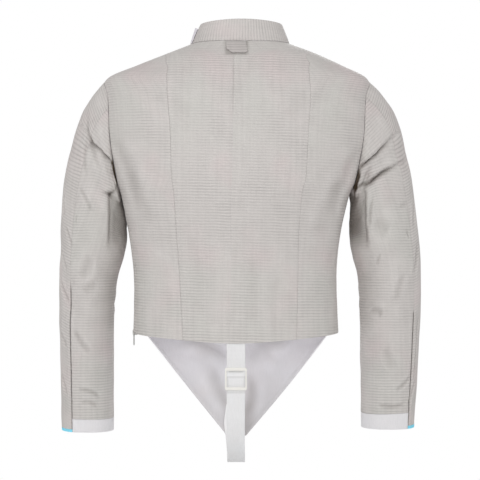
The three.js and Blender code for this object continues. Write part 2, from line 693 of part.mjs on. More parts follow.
// The slider buckle: a frame with a thin bar at each end, and a cross bar set further in.
function buckle() {
  const frame = roundedRectangle(BUCKLE.width, BUCKLE.height, BUCKLE.corner);
  const windowWidth = BUCKLE.width - 2 * BUCKLE.rail;
  const windowHeight = BUCKLE.height - 2 * BUCKLE.bar;
  const window = roundedRectangle(windowWidth, windowHeight, BUCKLE.innerCorner, new THREE.Path());
  frame.holes.push(window);
  const plate = extruded(frame, BUCKLE.depth).rotateX(Math.PI / 2);
  plate.translate(0, BUCKLE.frontRise, 0);
  const behind = BUCKLE.depth;
  const recess = box(windowWidth, behind, BUCKLE.height + 2, 0, BUCKLE.barBack - behind / 2, 0);
  const crossDepth = BUCKLE.crossFront - BUCKLE.crossBack;
  const crossY = (BUCKLE.crossFront + BUCKLE.crossBack) / 2;
  const cross = box(windowWidth + 2, crossDepth, BUCKLE.crossBar, 0, crossY, 0);
  const solid = solidOf(plate).subtract(solidOf(recess)).add(solidOf(cross));
  const mesh = named("strap_buckle", MATERIALS.plastic, geometryOf(solid));
  mesh.position.set(STRAP_X, BUCKLE.middleY, BUCKLE.middleZ);
  return mesh;
}

// The slider's own frame: local +X out of the cloth, +Z up, on the zip line at the hem.
const sliderSeat = bodyPoint(zipLine(0), 0);
const sliderAcross = bodyPoint(zipLine(0) + 1, 0).sub(bodyPoint(zipLine(0) - 1, 0)).setZ(0);
const sliderTurn = Math.atan2(-sliderAcross.x, sliderAcross.y);

function placedAtSlider(mesh) {
  mesh.position.set(sliderSeat.x, sliderSeat.y, SLIDER.middleZ);
  mesh.rotation.z = sliderTurn;
  return mesh;
}

function zipSlider() {
  const plateShape = roundedRectangle(SLIDER.plateWidth, SLIDER.plateHeight, SLIDER.plateCorner);
  const plate = extruded(plateShape, SLIDER.plate).rotateX(Math.PI / 2).rotateZ(Math.PI / 2);
  plate.translate(SLIDER.seat, 0, 0);
  const coreDepth = SLIDER.coreDepth + SLIDER.seat;
  const coreX = SLIDER.seat + SLIDER.coreLift - coreDepth / 2;
  const core = box(coreDepth, SLIDER.coreWidth, SLIDER.coreHeight, coreX, 0, 0);
  const room = SLIDER.bridgeRoom + SLIDER.bridgeSink;
  const reach = room + SLIDER.bridgeBar;
  const arch = roundedRectangle(2 * reach, SLIDER.bridgeHeight, SLIDER.bridgeCorner);
  const roomHeight = SLIDER.bridgeHeight - 2 * SLIDER.bridgeBar;
  arch.holes.push(roundedRectangle(2 * room, roomHeight, SLIDER.bridgeInnerCorner, new THREE.Path()));
  const ring = extruded(arch, SLIDER.bridgeWidth).rotateX(Math.PI / 2);
  const foot = SLIDER.seat + SLIDER.plate - SLIDER.bridgeSink;
  ring.translate(foot, SLIDER.bridgeWidth / 2, 0);
  const inside = box(2 * reach, 2 * SLIDER.plateWidth, 2 * SLIDER.plateHeight, foot - reach, 0, 0);
  const bridge = solidOf(ring).subtract(solidOf(inside));
  const solid = solidOf(plate).add(solidOf(core)).add(bridge);
  return placedAtSlider(named("zip_slider", MATERIALS.zip, geometryOf(solid)));
}

// The pull tab hangs from a bar through the slider's bridge, with its window round the bridge.
function zipPull() {
  const { width, waist, length, windowWidth, windowLength, bar, thickness } = PULL;
  const shoulder = -windowLength - PULL.shoulder;
  const neck = -windowLength - PULL.neck;
  const outline = new THREE.Shape();
  outline.moveTo(-width / 2, bar);
  outline.lineTo(-width / 2, shoulder);
  outline.lineTo(-waist / 2, neck);
  outline.lineTo(-width / 2, -length + width / 2);
  outline.absarc(0, -length + width / 2, width / 2, Math.PI, 2 * Math.PI);
  outline.lineTo(waist / 2, neck);
  outline.lineTo(width / 2, shoulder);
  outline.lineTo(width / 2, bar);
  const window = new THREE.Path();
  window.moveTo(-windowWidth / 2, -bar);
  window.lineTo(windowWidth / 2, -bar);
  window.lineTo(windowWidth / 2, -windowLength);
  window.lineTo(-windowWidth / 2, -windowLength);
  outline.holes.push(window);
  const plate = extruded(outline, thickness).rotateX(Math.PI / 2).rotateZ(Math.PI / 2);
  plate.translate(SLIDER.seat + SLIDER.plate + SLIDER.bridgeRoom / 2 - thickness / 2, 0, 0);
  return placedAtSlider(named("zip_pull", MATERIALS.zip, plate));
}

// The clip tab: a flat cloth plate on the slope of the upper back, clear of the curve below it.
function clipTab() {
  const upper = bodyPoint(90, TAB_SLOPE.high);
  const lower = bodyPoint(90, TAB_SLOPE.low);
  const up = upper.clone().sub(lower).normalize();
  const out = new THREE.Vector3(0, up.z, -up.y);
  const shape = new THREE.Shape(TAB_OUTLINE.map(({ x, z }) => new THREE.Vector2(
    TAB_MIDDLE_X - x,
    (z - TAB_OUTLINE[0].z) / up.z,
  )));
  const plate = extruded(shape, TAB_THICKNESS);
  const basis = new THREE.Matrix4().makeBasis(new THREE.Vector3(-1, 0, 0), up, out);
  const anchor = upper.clone().addScaledVector(up, (TAB_OUTLINE[0].z - upper.z) / up.z);
  const { fromLevel, fromAngle, toAngle, levelStep, angleStep } = TAB_SEAT;
  let stand = 0;
  for (let level = fromLevel; level <= NECK_LEVEL; level += levelStep) {
    for (let angle = fromAngle; angle <= toAngle; angle += angleStep) {
      stand = Math.max(stand, bodyPoint(angle, level).sub(anchor).dot(out));
    }
  }
  anchor.addScaledVector(out, stand + SEAM_GAP);
  anchor.x = TAB_MIDDLE_X;
  plate.applyMatrix4(basis.setPosition(anchor));
  return named("clip_tab", MATERIALS.lame, plate);
}

const jacket = new THREE.Group();
jacket.add(...body());
jacket.add(...sleeve("left"), ...sleeve("right"));
jacket.add(collar(), clipTab());
jacket.add(flap(), crotchStrap(), buckle());
jacket.add(zipSlider(), zipPull());

export default jacket;
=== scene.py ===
# %% [markdown]
# # A sabre fencer's jacket of metal cloth, seen from the back
# The jacket is hollow, as it looks when it is worn: four back panels, two front panels with a zip
# between them, two-piece sleeves with white and blue cuffs, a stand collar, and a white flap that
# a strap holds under the crotch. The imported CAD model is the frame. Each piece of cloth is made
# again here as a thin sheet on its own solid's form, with the creases and seams a camera would see.

# %% Load the frame
import math

import bmesh
import bpy
import numpy as np
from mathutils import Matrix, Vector


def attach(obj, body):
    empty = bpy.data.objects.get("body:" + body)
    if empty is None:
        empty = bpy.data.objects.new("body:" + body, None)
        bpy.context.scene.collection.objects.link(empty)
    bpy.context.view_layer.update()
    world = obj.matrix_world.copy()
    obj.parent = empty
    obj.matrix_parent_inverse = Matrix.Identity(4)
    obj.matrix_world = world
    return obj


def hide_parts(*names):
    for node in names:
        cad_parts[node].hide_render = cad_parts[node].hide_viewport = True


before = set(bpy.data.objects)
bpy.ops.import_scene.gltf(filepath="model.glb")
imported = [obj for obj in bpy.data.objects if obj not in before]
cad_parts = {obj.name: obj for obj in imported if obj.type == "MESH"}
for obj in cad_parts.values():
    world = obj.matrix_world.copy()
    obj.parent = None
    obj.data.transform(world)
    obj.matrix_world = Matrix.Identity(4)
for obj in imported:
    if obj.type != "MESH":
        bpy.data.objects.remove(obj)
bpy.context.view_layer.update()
MM = 0.001

# %% [markdown]
# ## Camera
# The photograph was taken level, from behind, with a long lens, so both shoulders look equally
# large. A camera 2.5 m behind the jacket with a 109 mm lens gives the same outline.

# %% Camera
CAMERA_PLACE = (-0.00344, 2.5, -0.3431)
CAMERA_LENS = 109.0


def place_object(name, data):
    """A new object in the scene that holds the data."""
    obj = bpy.data.objects.new(name, data)
    bpy.context.scene.collection.objects.link(obj)
    return obj


camera_data = bpy.data.cameras.new("camera")
camera_data.lens = CAMERA_LENS
camera_data.sensor_width = 36
camera = place_object("camera", camera_data)
camera.location = CAMERA_PLACE
camera.rotation_euler = (math.pi / 2, 0, math.pi)
bpy.context.scene.camera = camera
print("camera looks at the back from", CAMERA_PLACE)

# %% [markdown]
# ## Studio light and floor
# A catalogue photo of a garment is lit by big soft boxes, with a white room all round. One large
# area light stands near the camera, a weaker one lights each side, and one the front. A very weak
# one inside the hem, which the camera doesn't see, lifts the dark of the hollow. The floor and the
# room are seen as plain white, as in the photo, and still send soft light back.

# %% Lights and floor
FLOOR_HEIGHT = -1.1
FLOOR_SIZE = 14
ROOM_LIGHT = 0.66
PLAIN_WHITE = (1, 1, 1, 1)
MIDDLE_OF_JACKET = (0, 0, -0.34)
LIGHTS = [
    # name, place, size in metres, watts, the place that it faces
    ("light_back", (0.5, 3.3, 0.7), 1.6, 34, MIDDLE_OF_JACKET),
    ("light_left", (3.0, 1.2, 0.4), 1.6, 6, MIDDLE_OF_JACKET),
    ("light_right", (-3.0, 1.2, 0.4), 1.6, 6, MIDDLE_OF_JACKET),
    ("light_front", (-0.4, -3.4, 1.1), 1.6, 34, MIDDLE_OF_JACKET),
    ("light_inside", (0.0, 0.03, -0.53), 0.3, 0.1, (0, -0.3, -0.55)),
]


def soft_box(name, place, size, watts, aim_at):
    """A square area light that faces a place."""
    data = bpy.data.lights.new(name, "AREA")
    data.shape = "SQUARE"
    data.size = size
    data.energy = watts
    light = place_object(name, data)
    light.location = place
    light.rotation_mode = "QUATERNION"
    light.rotation_quaternion = (Vector(aim_at) - Vector(place)).to_track_quat("-Z", "Y")
    return light


lights = {row[0]: soft_box(*row) for row in LIGHTS}
lights["light_inside"].visible_camera = False


def new_material(name):
    """A new material, its node tree and its main shader."""
    material = bpy.data.materials.new(name)
    material.use_nodes = True
    return material, material.node_tree, material.node_tree.nodes["Principled BSDF"]


def white_to_camera(tree, lit_shader, lit_output, target):
    """What the camera sees directly is plain white; other rays meet the lit shader."""
    path = tree.nodes.new("ShaderNodeLightPath")
    is_world = target.bl_idname.endswith("World")
    white = tree.nodes.new("ShaderNodeBackground" if is_world else "ShaderNodeEmission")
    white.inputs["Color"].default_value = PLAIN_WHITE
    white.inputs["Strength"].default_value = 1.0
    mix = tree.nodes.new("ShaderNodeMixShader")
    tree.links.new(path.outputs["Is Camera Ray"], mix.inputs[0])
    tree.links.new(lit_shader.outputs[lit_output], mix.inputs[1])
    tree.links.new(white.outputs[0], mix.inputs[2])
    tree.links.new(mix.outputs[0], target.inputs["Surface"])


world = bpy.data.worlds.new("white room")
world.use_nodes = True
bpy.context.scene.world = world
room = world.node_tree.nodes["Background"]
room.inputs["Color"].default_value = PLAIN_WHITE
room.inputs["Strength"].default_value = ROOM_LIGHT
white_to_camera(world.node_tree, room, "Background", world.node_tree.nodes["World Output"])

floor_paint, floor_tree, floor_shader = new_material("floor")
floor_shader.inputs["Base Color"].default_value = (0.8, 0.8, 0.8, 1)
white_to_camera(floor_tree, floor_shader, "BSDF", floor_tree.nodes["Material Output"])

bpy.ops.mesh.primitive_plane_add(size=FLOOR_SIZE, location=(0, 0, FLOOR_HEIGHT))
floor = bpy.context.object
floor.name = "floor"
floor.data.materials.append(floor_paint)
bpy.context.scene.view_settings.view_transform = "Standard"
print("floor at", FLOOR_HEIGHT, "m")

# %% [markdown]
# ## Node helpers for the finishes
# A finish is a small graph. These helpers keep each graph readable: they add a node with its inputs
# set or linked, do maths, make noise and waves, mix colours, and start a group, which is a graph
# with named inputs that several finishes use.

# %% Node helpers


def connect(tree, value, socket):
    """Links a socket, or writes a plain value into it."""
    if isinstance(value, bpy.types.NodeSocket):
        tree.links.new(value, socket)
    else:
        socket.default_value = value


def set_inputs(tree, node, inputs):
    """Sets or links a node's inputs by name, with an underscore for a space."""
    for name, value in inputs.items():
        connect(tree, value, node.inputs[name.replace("_", " ")])
    return node


def add_node(tree, kind, **inputs):
    """Adds a shader or geometry node with its inputs."""
    return set_inputs(tree, tree.nodes.new(kind), inputs)


def maths(tree, operation, first, second=0.0, third=0.0):
    """One maths node: its result for numbers or sockets."""
    node = tree.nodes.new("ShaderNodeMath")
    node.operation = operation
    for socket, value in zip(node.inputs, (first, second, third)):
        connect(tree, value, socket)
    return node.outputs[0]


def noise(tree, place, scale, detail=2.0):
    """A noise value from 0 to 1, near 0.5 in most places."""
    return add_node(tree, "ShaderNodeTexNoise", Vector=place, Scale=scale, Detail=detail).outputs[0]


def stretched(tree, place, scale):
    """A place scaled by axis, so that noise read there is stretched."""
    return add_node(tree, "ShaderNodeMapping", Vector=place, Scale=scale).outputs[0]


def uneven(tree, value, amount):
    """A noise value moved to lie about 0, times an amount."""
    return maths(tree, "MULTIPLY", maths(tree, "SUBTRACT", value, 0.5), amount)


def wave(tree, place, pitch):
    """A sine wave along one coordinate, with one turn in each pitch."""
    turns = maths(tree, "DIVIDE", place, pitch)
    return maths(tree, "SINE", maths(tree, "MULTIPLY", turns, 2 * math.pi))


def blend_colours(tree, share, first, second, kind="MIX"):
    """A colour mix: share 0 gives the first, share 1 the second."""
    node = tree.nodes.new("ShaderNodeMix")
    node.data_type = "RGBA"
    node.blend_type = kind
    for place, value in ((0, share), (6, first), (7, second)):
        connect(tree, value, node.inputs[place])
    return node.outputs[2]


def shaded(tree, colour, red, green, blue):
    """A colour times a level for each of red, green and blue."""
    grey = add_node(tree, "ShaderNodeCombineColor", Red=red, Green=green, Blue=blue)
    return blend_colours(tree, 1.0, colour, grey.outputs[0], "MULTIPLY")


def add_bumps(tree, shader, heights):
    """Puts bumps on a shader one after another: each is a height and its depth in metres."""
    normal = None
    for height, depth in heights:
        bump = add_node(tree, "ShaderNodeBump", Height=height, Distance=depth, Strength=1.0)
        if normal is not None:
            tree.links.new(normal, bump.inputs["Normal"])
        normal = bump.outputs["Normal"]
    tree.links.new(normal, shader.inputs["Normal"])


def new_group(name, inputs, outputs, kind="ShaderNodeTree"):
    """An empty node group with named inputs (type, default) and outputs (type)."""
    group = bpy.data.node_groups.new(name, kind)
    for label, (socket_type, default) in inputs.items():
        socket = group.interface.new_socket(label, in_out="INPUT", socket_type=socket_type)
        if default is not None:
            socket.default_value = default
    for label, socket_type in outputs.items():
        group.interface.new_socket(label, in_out="OUTPUT", socket_type=socket_type)
    return group, group.nodes.new("NodeGroupInput").outputs, group.nodes.new("NodeGroupOutput").inputs


def use_group(tree, group, **inputs):
    """Places a group in a tree with its own values."""
    node = tree.nodes.new("ShaderNodeGroup")
    node.node_tree = group
    return set_inputs(tree, node, inputs).outputs


print("node helpers ready")

# %% [markdown]
# ## Group: cross ribs
# Metal cloth for fencing is woven with a fine rib about every 5 mm across it. The rib is a wave on
# the second coordinate of the cloth's own UV map, which is in metres. Noise lets the ribs wander
# a little and fade in places, and in worn patches they almost go, because a hard even wave looks
# printed. The dark of the furrow between two ribs is painted shade.

# %% Cross ribs
FLOAT = "NodeSocketFloat"
VECTOR = "NodeSocketVector"
COLOUR = "NodeSocketColor"
RIB_DRIFT_SCALE = 38.0
RIB_FADE_STRETCH = (60.0, 420.0, 60.0)
WORN_SCALE, WORN_GAIN, WORN_OFFSET, WORN_LEAST, WORN_MOST = 13.0, 3.2, -0.72, 0.2, 1.35
FURROW_SHARPNESS = 2.2


def rib_group():
    """Ribs as a height, and as the painted shade of the furrow between two of them."""
    group, start, end = new_group(
        "Cross ribs",
        {"Vector": (VECTOR, None), "Pitch": (FLOAT, 0.005), "Wander": (FLOAT, 0.0016),
         "Patchiness": (FLOAT, 0.5)},
        {"Height": FLOAT, "Furrow": FLOAT},
    )
    place, patchiness = start["Vector"], start["Patchiness"]
    parts = add_node(group, "ShaderNodeSeparateXYZ", Vector=place)
    shift = uneven(group, noise(group, place, RIB_DRIFT_SCALE), start["Wander"])
    rib = wave(group, maths(group, "ADD", parts.outputs["Y"], shift), start["Pitch"])
    rounded = maths(group, "MULTIPLY_ADD", rib, 0.5, 0.5)
    patches = noise(group, stretched(group, place, RIB_FADE_STRETCH), 1.0, 3.0)
    fade = maths(group, "MULTIPLY", patches, patchiness)
    keep = maths(group, "SUBTRACT", maths(group, "MULTIPLY_ADD", patchiness, 0.5, 1.0), fade)
    worn = maths(group, "MULTIPLY_ADD", noise(group, place, WORN_SCALE), WORN_GAIN, WORN_OFFSET)
    plain = add_node(group, "ShaderNodeClamp", Value=worn, Min=WORN_LEAST, Max=WORN_MOST)
    keep = maths(group, "MULTIPLY", keep, plain.outputs[0])
    furrow = maths(group, "POWER", maths(group, "SUBTRACT", 1.0, rounded), FURROW_SHARPNESS)
    group.links.new(rounded, end["Height"])
    group.links.new(maths(group, "MULTIPLY", furrow, keep), end["Furrow"])
    return group


CROSS_RIBS = rib_group()
print("group:", CROSS_RIBS.name)

# %% [markdown]
# ## Group: thread weave
# Under the ribs every cloth here is a weave of threads under a millimetre wide, too fine for the
# wide view but plain to see close up. Two crossed waves give the over-and-under of the threads,
# stretched noise makes some threads thicker, and longer noise leaves soft streaks. Raised and thick
# threads are painted lighter and sunk ones darker: painted light and shade.

# %% Thread weave
SLUB_STRETCH = (900.0, 70.0, 1.0)
STREAK_STRETCH = (190.0, 5.0, 1.0)
THREAD_SHADE, THREAD_LEVEL = 0.06, 0.97


def weave_group():
    """Crossed threads as a height and a shade, with painted light on raised threads and painted shade on sunk
    ones.
    """
    group, start, end = new_group(
        "Thread weave",
        {"Vector": (VECTOR, None), "Across": (FLOAT, 0.0009), "Along": (FLOAT, 0.0009), "Slubs": (FLOAT, 0.3),
         "Streaks": (FLOAT, 0.14)},
        {"Height": FLOAT, "Shade": FLOAT},
    )
    place = start["Vector"]
    parts = add_node(group, "ShaderNodeSeparateXYZ", Vector=place)
    across = wave(group, parts.outputs["X"], start["Across"])
    along = wave(group, parts.outputs["Y"], start["Along"])
    crossed = maths(group, "MULTIPLY", across, along)
    thick = uneven(group, noise(group, stretched(group, place, SLUB_STRETCH), 1.0), start["Slubs"])
    lighter = uneven(group, noise(group, stretched(group, place, STREAK_STRETCH), 1.0), start["Streaks"])
    height = maths(group, "ADD", maths(group, "MULTIPLY_ADD", crossed, 0.5, 0.5), thick)
    # painted light and shade: raised threads lighter, sunk ones darker
    level = maths(group, "MULTIPLY_ADD", crossed, THREAD_SHADE, THREAD_LEVEL)
    shade = maths(group, "ADD", maths(group, "ADD", level, maths(group, "MULTIPLY", thick, 0.5)), lighter)
    group.links.new(height, end["Height"])
    group.links.new(shade, end["Shade"])
    return group


THREAD_WEAVE = weave_group()
print("group:", THREAD_WEAVE.name)

# %% [markdown]
# ## Group: cloth tone
# No cloth has one even colour. The metal threads here tarnish in soft patches, some warmer and some
# greener. The group mixes the main colour with two tints by large soft noise, and darkens it by the
# piece's own seam attribute: along seams, and with painted shade in creases, folds, hollows and round
# small parts. The painted shade is made a little warmer than the cloth, to stand for light that
# reaches it from other cloth.

# %% Cloth tone
# painted shade is tinted warmer than the cloth, standing for light that reaches it from other cloth
SHADE_WARMTH = (1.0, 1.03, 1.06)
TINT_GAIN = 4.0
SECOND_TINT_MOVED = (3.1, 1.7, 0.4)


def tone_group():
    """The colour of a cloth with its tints, its dark seams and its painted shade."""
    group, start, end = new_group(
        "Cloth tone",
        {"Vector": (VECTOR, None), "Colour": (COLOUR, (0.6, 0.58, 0.56, 1)),
         "Warm": (COLOUR, (0.62, 0.56, 0.55, 1)), "Cool": (COLOUR, (0.58, 0.58, 0.55, 1)),
         "Patch": (FLOAT, 9.0), "Tint": (FLOAT, 0.5), "Shade": (FLOAT, 1.0), "Seam": (FLOAT, 0.0),
         "Seam shade": (FLOAT, 0.3)},
        {"Colour": COLOUR},
    )
    moved = add_node(group, "ShaderNodeMapping", Vector=start["Vector"], Location=SECOND_TINT_MOVED)
    colour = start["Colour"]
    for place, tint in ((start["Vector"], "Warm"), (moved.outputs[0], "Cool")):
        patches = uneven(group, noise(group, place, start["Patch"]), TINT_GAIN)
        clipped = add_node(group, "ShaderNodeClamp", Value=patches)
        share = maths(group, "MULTIPLY", clipped.outputs[0], start["Tint"])
        colour = blend_colours(group, share, colour, start[tint])
    # the seam attribute darkens the colour: dark seams, and painted shade in creases, folds and hollows
    dark = maths(group, "MULTIPLY", start["Seam"], start["Seam shade"])
    levels = [maths(group, "MULTIPLY", start["Shade"], maths(group, "MULTIPLY_ADD", dark, -share, 1.0))
              for share in SHADE_WARMTH]
    group.links.new(shaded(group, colour, *levels), end["Colour"])
    return group


CLOTH_TONE = tone_group()
print("group:", CLOTH_TONE.name)

# %% [markdown]
# ## The cloth finishes
# Metal cloth is half thread and half wire: it is a little metallic and catches light softly. The clip
# tab's cloth is the metal cloth made darker. The lining is pale cotton, the cuff bands are white, the
# flap is white cotton made lighter as painted light for its shaded place under the hem, the edging is
# blue tape, and the strap is webbing. One builder serves them all, because only sizes and colours differ.

# %% Cloth finishes
CLOTH_SPECULAR = 0.35
ROUGH_PATCH_SCALE = 24.0
ROUGH_SPREAD = 0.16


def cloth_finish(name, colour, warm, cool, metal=0.0, rough=0.8, pitch=0.005, rib_shade=0.0, rib_height=0.0,
                 across=0.0009, along=0.0009, thread_height=0.00005, sheen=0.0, tint=0.4, seam_and_painted_shade=0.15,
                 wander=0.0016, patchiness=0.8, patch=9.0, streaks=0.03):
    """A cloth material from the three groups, read from the piece's own UV map in metres."""
    material, tree, shader = new_material(name)
    shader.inputs["Metallic"].default_value = metal
    shader.inputs["Sheen Weight"].default_value = sheen
    shader.inputs["Specular IOR Level"].default_value = CLOTH_SPECULAR
    place = tree.nodes.new("ShaderNodeTexCoord").outputs["UV"]
    weave = use_group(tree, THREAD_WEAVE, Vector=place, Across=across, Along=along, Streaks=streaks)
    shade = weave["Shade"]
    heights = [(weave["Height"], thread_height)]
    if rib_shade or rib_height:
        ribs = use_group(tree, CROSS_RIBS, Vector=place, Pitch=pitch, Wander=wander, Patchiness=patchiness)
        # the furrow between ribs is painted darker in the colour: painted shade
        shade = maths(tree, "MULTIPLY", shade, maths(tree, "MULTIPLY_ADD", ribs["Furrow"], -rib_shade, 1.0))
        heights.append((ribs["Height"], rib_height))
    # the seam attribute holds dark seams and painted shade
    seam = tree.nodes.new("ShaderNodeAttribute")
    seam.attribute_name = "seam"
    tone = use_group(tree, CLOTH_TONE, Vector=place, Colour=(*colour, 1), Warm=(*warm, 1), Cool=(*cool, 1),
                     Tint=tint, Shade=shade, Seam=seam.outputs["Fac"], Seam_shade=seam_and_painted_shade, Patch=patch)
    tree.links.new(tone["Colour"], shader.inputs["Base Color"])
    worn = noise(tree, place, ROUGH_PATCH_SCALE, 3.0)
    roughness = maths(tree, "MULTIPLY_ADD", worn, ROUGH_SPREAD, rough - ROUGH_SPREAD / 2)
    tree.links.new(roughness, shader.inputs["Roughness"])
    add_bumps(tree, shader, heights)
    return material


LAME_LOOK = {
    "metal": 0.1, "rough": 0.6, "pitch": 0.0048, "rib_shade": 0.17, "rib_height": 0.00022, "tint": 0.9,
    "seam_and_painted_shade": 0.34, "wander": 0.0022, "patchiness": 1.1, "streaks": 0.17,
}
LAME = cloth_finish("metal cloth", (0.642, 0.609, 0.588), (0.674, 0.591, 0.583), (0.622, 0.607, 0.576),
                    **LAME_LOOK)
# the clip tab's cloth: the metal cloth made darker
TAB_LAME = cloth_finish("metal cloth, doubled", (0.555, 0.525, 0.507), (0.565, 0.518, 0.504),
                        (0.537, 0.524, 0.498), **LAME_LOOK)
LINING = cloth_finish("lining cloth", (0.76, 0.73, 0.78), (0.77, 0.73, 0.76), (0.74, 0.74, 0.78),
                      across=0.0007, along=0.0007, thread_height=0.00004, tint=0.4)
WHITE = cloth_finish("white cotton", (0.80, 0.785, 0.80), (0.81, 0.78, 0.79), (0.78, 0.79, 0.81),
                     across=0.0006, along=0.0012, thread_height=0.00005, sheen=0.05, tint=0.5, patch=14.0,
                     seam_and_painted_shade=0.3)
# the flap's cotton: white cotton made lighter, painted light for its shaded place under the hem
FLAP_WHITE_PAINTED_LIGHTER = cloth_finish("painted_lighter cotton", (0.88, 0.855, 0.88), (0.89, 0.855, 0.86), (0.85, 0.86, 0.90),
                          across=0.0006, along=0.0006, thread_height=0.00004, tint=0.5, patch=11.0,
                          seam_and_painted_shade=0.3, streaks=0.01)
BLUE = cloth_finish("blue edging", (0.27, 0.80, 1.0), (0.29, 0.81, 1.0), (0.25, 0.79, 1.0), pitch=0.0012,
                    rib_shade=0.02, rib_height=0.0001, tint=0.6, patchiness=0.2, wander=0.0003)
WEBBING = cloth_finish("white webbing", (0.87, 0.865, 0.87), (0.88, 0.86, 0.85), (0.85, 0.87, 0.89),
                       pitch=0.0022, rib_shade=0.05, rib_height=0.00012, across=0.0015, along=0.0022,
                       thread_height=0.0001, tint=0.4, wander=0.0002, patchiness=0.2, seam_and_painted_shade=0.09,
                       patch=20.0, streaks=0.0)
THREAD = cloth_finish("sewing thread", (0.64, 0.61, 0.59), (0.64, 0.60, 0.58), (0.60, 0.60, 0.58), metal=0.1)
ZIP_TAPE = cloth_finish("zip tape", (0.58, 0.56, 0.54), (0.58, 0.54, 0.53), (0.55, 0.56, 0.54), pitch=0.0016,
                        rib_shade=0.12, rib_height=0.0001, seam_and_painted_shade=0.0, wander=0.0003, patchiness=0.2)
FINISHES = (LAME, TAB_LAME, LINING, WHITE, FLAP_WHITE_PAINTED_LIGHTER, BLUE, WEBBING, THREAD, ZIP_TAPE)
print("cloth finishes:", [finish.name for finish in FINISHES])

# %% [markdown]
# ## The body's form
# The body is a stack of rings from the hem to the neck seam. Each ring is a rounded box shape: its
# height changes smoothly from the sides to the back and the front, as a worn hem does. These are the
# same sections as in the part's source, in millimetres, so a sheet made on them fits its solid.

# %% Body sections
DEGREE = math.pi / 180
CHEST_POWER = 2.5
ARMHOLE_BACK = 12
ARMHOLE_FRONT = 17
ARMPIT_LEVEL = 4
SHOULDER_LEVEL = 8
PRINCESS_LEFT_TOP = 10.2
PRINCESS_RIGHT_TOP = 10.3
PRINCESS_END = 0.7
NECK_LEVEL = 11


def table(columns, *rows):
    """Rows of numbers as one array a column."""
    return {name: np.array([row[i] for row in rows], float) for i, name in enumerate(columns)}


BODY_SECTIONS = table(
    ("side_z", "half_width", "middle_x", "back_y", "back_z", "front_y", "front_z"),
    (-501, 175.6, 3.7, 116, -513, -110, -504),
    (-450, 174, 4.2, 112, -458, -107, -452),
    (-395, 174, 5, 108, -400, -107, -396),
    (-333, 181.3, 5.8, 112, -334, -113, -333),
    (-268, 195.1, 4.6, 118, -268, -120, -272),
    (-239, 206, 3, 118, -232, -119, -240),
    (-168, 224, 2, 114, -165, -112, -192),
    (-97, 224.5, 2, 106, -112, -100, -152),
    (-68, 223.5, 1.7, 98, -84, -90, -128),
    (-45.8, 178, -2.4, 88, -56, -80, -106),
    (-25.6, 130, -5.6, 77, -32, -71, -88),
    (-8, 84, -5, 62, -8.5, -63, -74),
)
COLLAR_TOP = {
    "side_z": 25, "half_width": 70.5, "middle_x": -5.5, "back_y": 55, "back_z": 29.5, "front_y": -52,
    "front_z": -37,
}
SEAM_ANGLES = table(
    ("princess_left", "middle_back", "princess_right", "zip"),
    (51, 85.5, 134, -8),
    (49, 86, 136, -10),
    (47, 86.7, 137.8, -14),
    (47, 87.2, 137, -21),
    (47, 87, 136.2, -30),
    (45.5, 87.1, 137.5, -37),
    (44, 86.8, 138.6, -43),
    (40.4, 86.8, 142, -47),
    (37.6, 86.6, 143.5, -49),
    (30.8, 83.8, 147.7, -51),
    (10.7, 80.9, 160, -52),
    (-60, 79.3, 240, -52),
)


def smooth(values, position):
    """A smooth curve through the values, at row numbers that may be fractional."""
    position = np.asarray(position, float)
    last = len(values) - 1
    i = np.clip(np.floor(position).astype(int), 0, last - 1)
    t = position - i
    padded = np.concatenate([[2 * values[0] - values[1]], values, [2 * values[-1] - values[-2]]])
    before, start, end, after = (padded[i + k] for k in range(4))
    slope_start, slope_end = (end - before) / 2, (after - start) / 2
    a = 2 * start - 2 * end + slope_start + slope_end
    b = -3 * start + 3 * end - 2 * slope_start - slope_end
    return ((a * t + b) * t + slope_start) * t + start


def ring_point(ring, angle):
    """Points on a ring, by degrees anticlockwise from the garment's left seen from above."""
    c, s = np.cos(angle * DEGREE), np.sin(angle * DEGREE)
    depth = np.where(s > 0, ring["back_y"], -np.asarray(ring["front_y"]))
    far_z = np.where(s > 0, ring["back_z"], ring["front_z"])
    total = np.abs(c / ring["half_width"]) ** CHEST_POWER + np.abs(s / depth) ** CHEST_POWER
    radius = total ** (-1 / CHEST_POWER)
    height = ring["side_z"] + (far_z - ring["side_z"]) * s * s
    return np.stack([ring["middle_x"] + radius * c, radius * s, height], -1)


def body_point(angle, level):
    """Points on the body: level 0 is the hem, 4 the armpit, 8 the shoulder point, 11 the neck."""
    angle, level = np.broadcast_arrays(np.asarray(angle, float), np.asarray(level, float))
    return ring_point({name: smooth(values, level) for name, values in BODY_SECTIONS.items()}, angle)


def seam_angle(seam, level):
    """The angle of a sewn line at each level, from its table."""
    return smooth(SEAM_ANGLES[seam], level)


def armhole(depth, level):
    """How far the armhole's edge lies round from the side line, zero outside the armhole."""
    share = (np.asarray(level, float) - ARMPIT_LEVEL) / (SHOULDER_LEVEL - ARMPIT_LEVEL)
    return np.where((share > 0) & (share < 1), depth * np.sin(np.pi * np.clip(share, 0, 1)), 0.0)


hem_steps = np.diff(body_point(np.arange(361), 0), axis=0)
print("hem girth in mm:", round(float(np.linalg.norm(hem_steps, axis=1).sum())))

# %% [markdown]
# ## Tools for sheets of cloth
# A sheet is a grid of points. Rows and columns lie close together at the edges, where a seam turns
# the cloth in, and evenly between them. Distances are measured on the grid itself, so a groove, a
# crease or the weave has its true size in millimetres anywhere on the sheet.

# %% Grid tools
STEP = 3.6
EDGE_PLACES = np.array([0, 0.8, 1.8, 3.2, 5.2, 7.2, 8.8, 11.0])
NARROW_STEP = 1.2
FINE_ROWS = 900


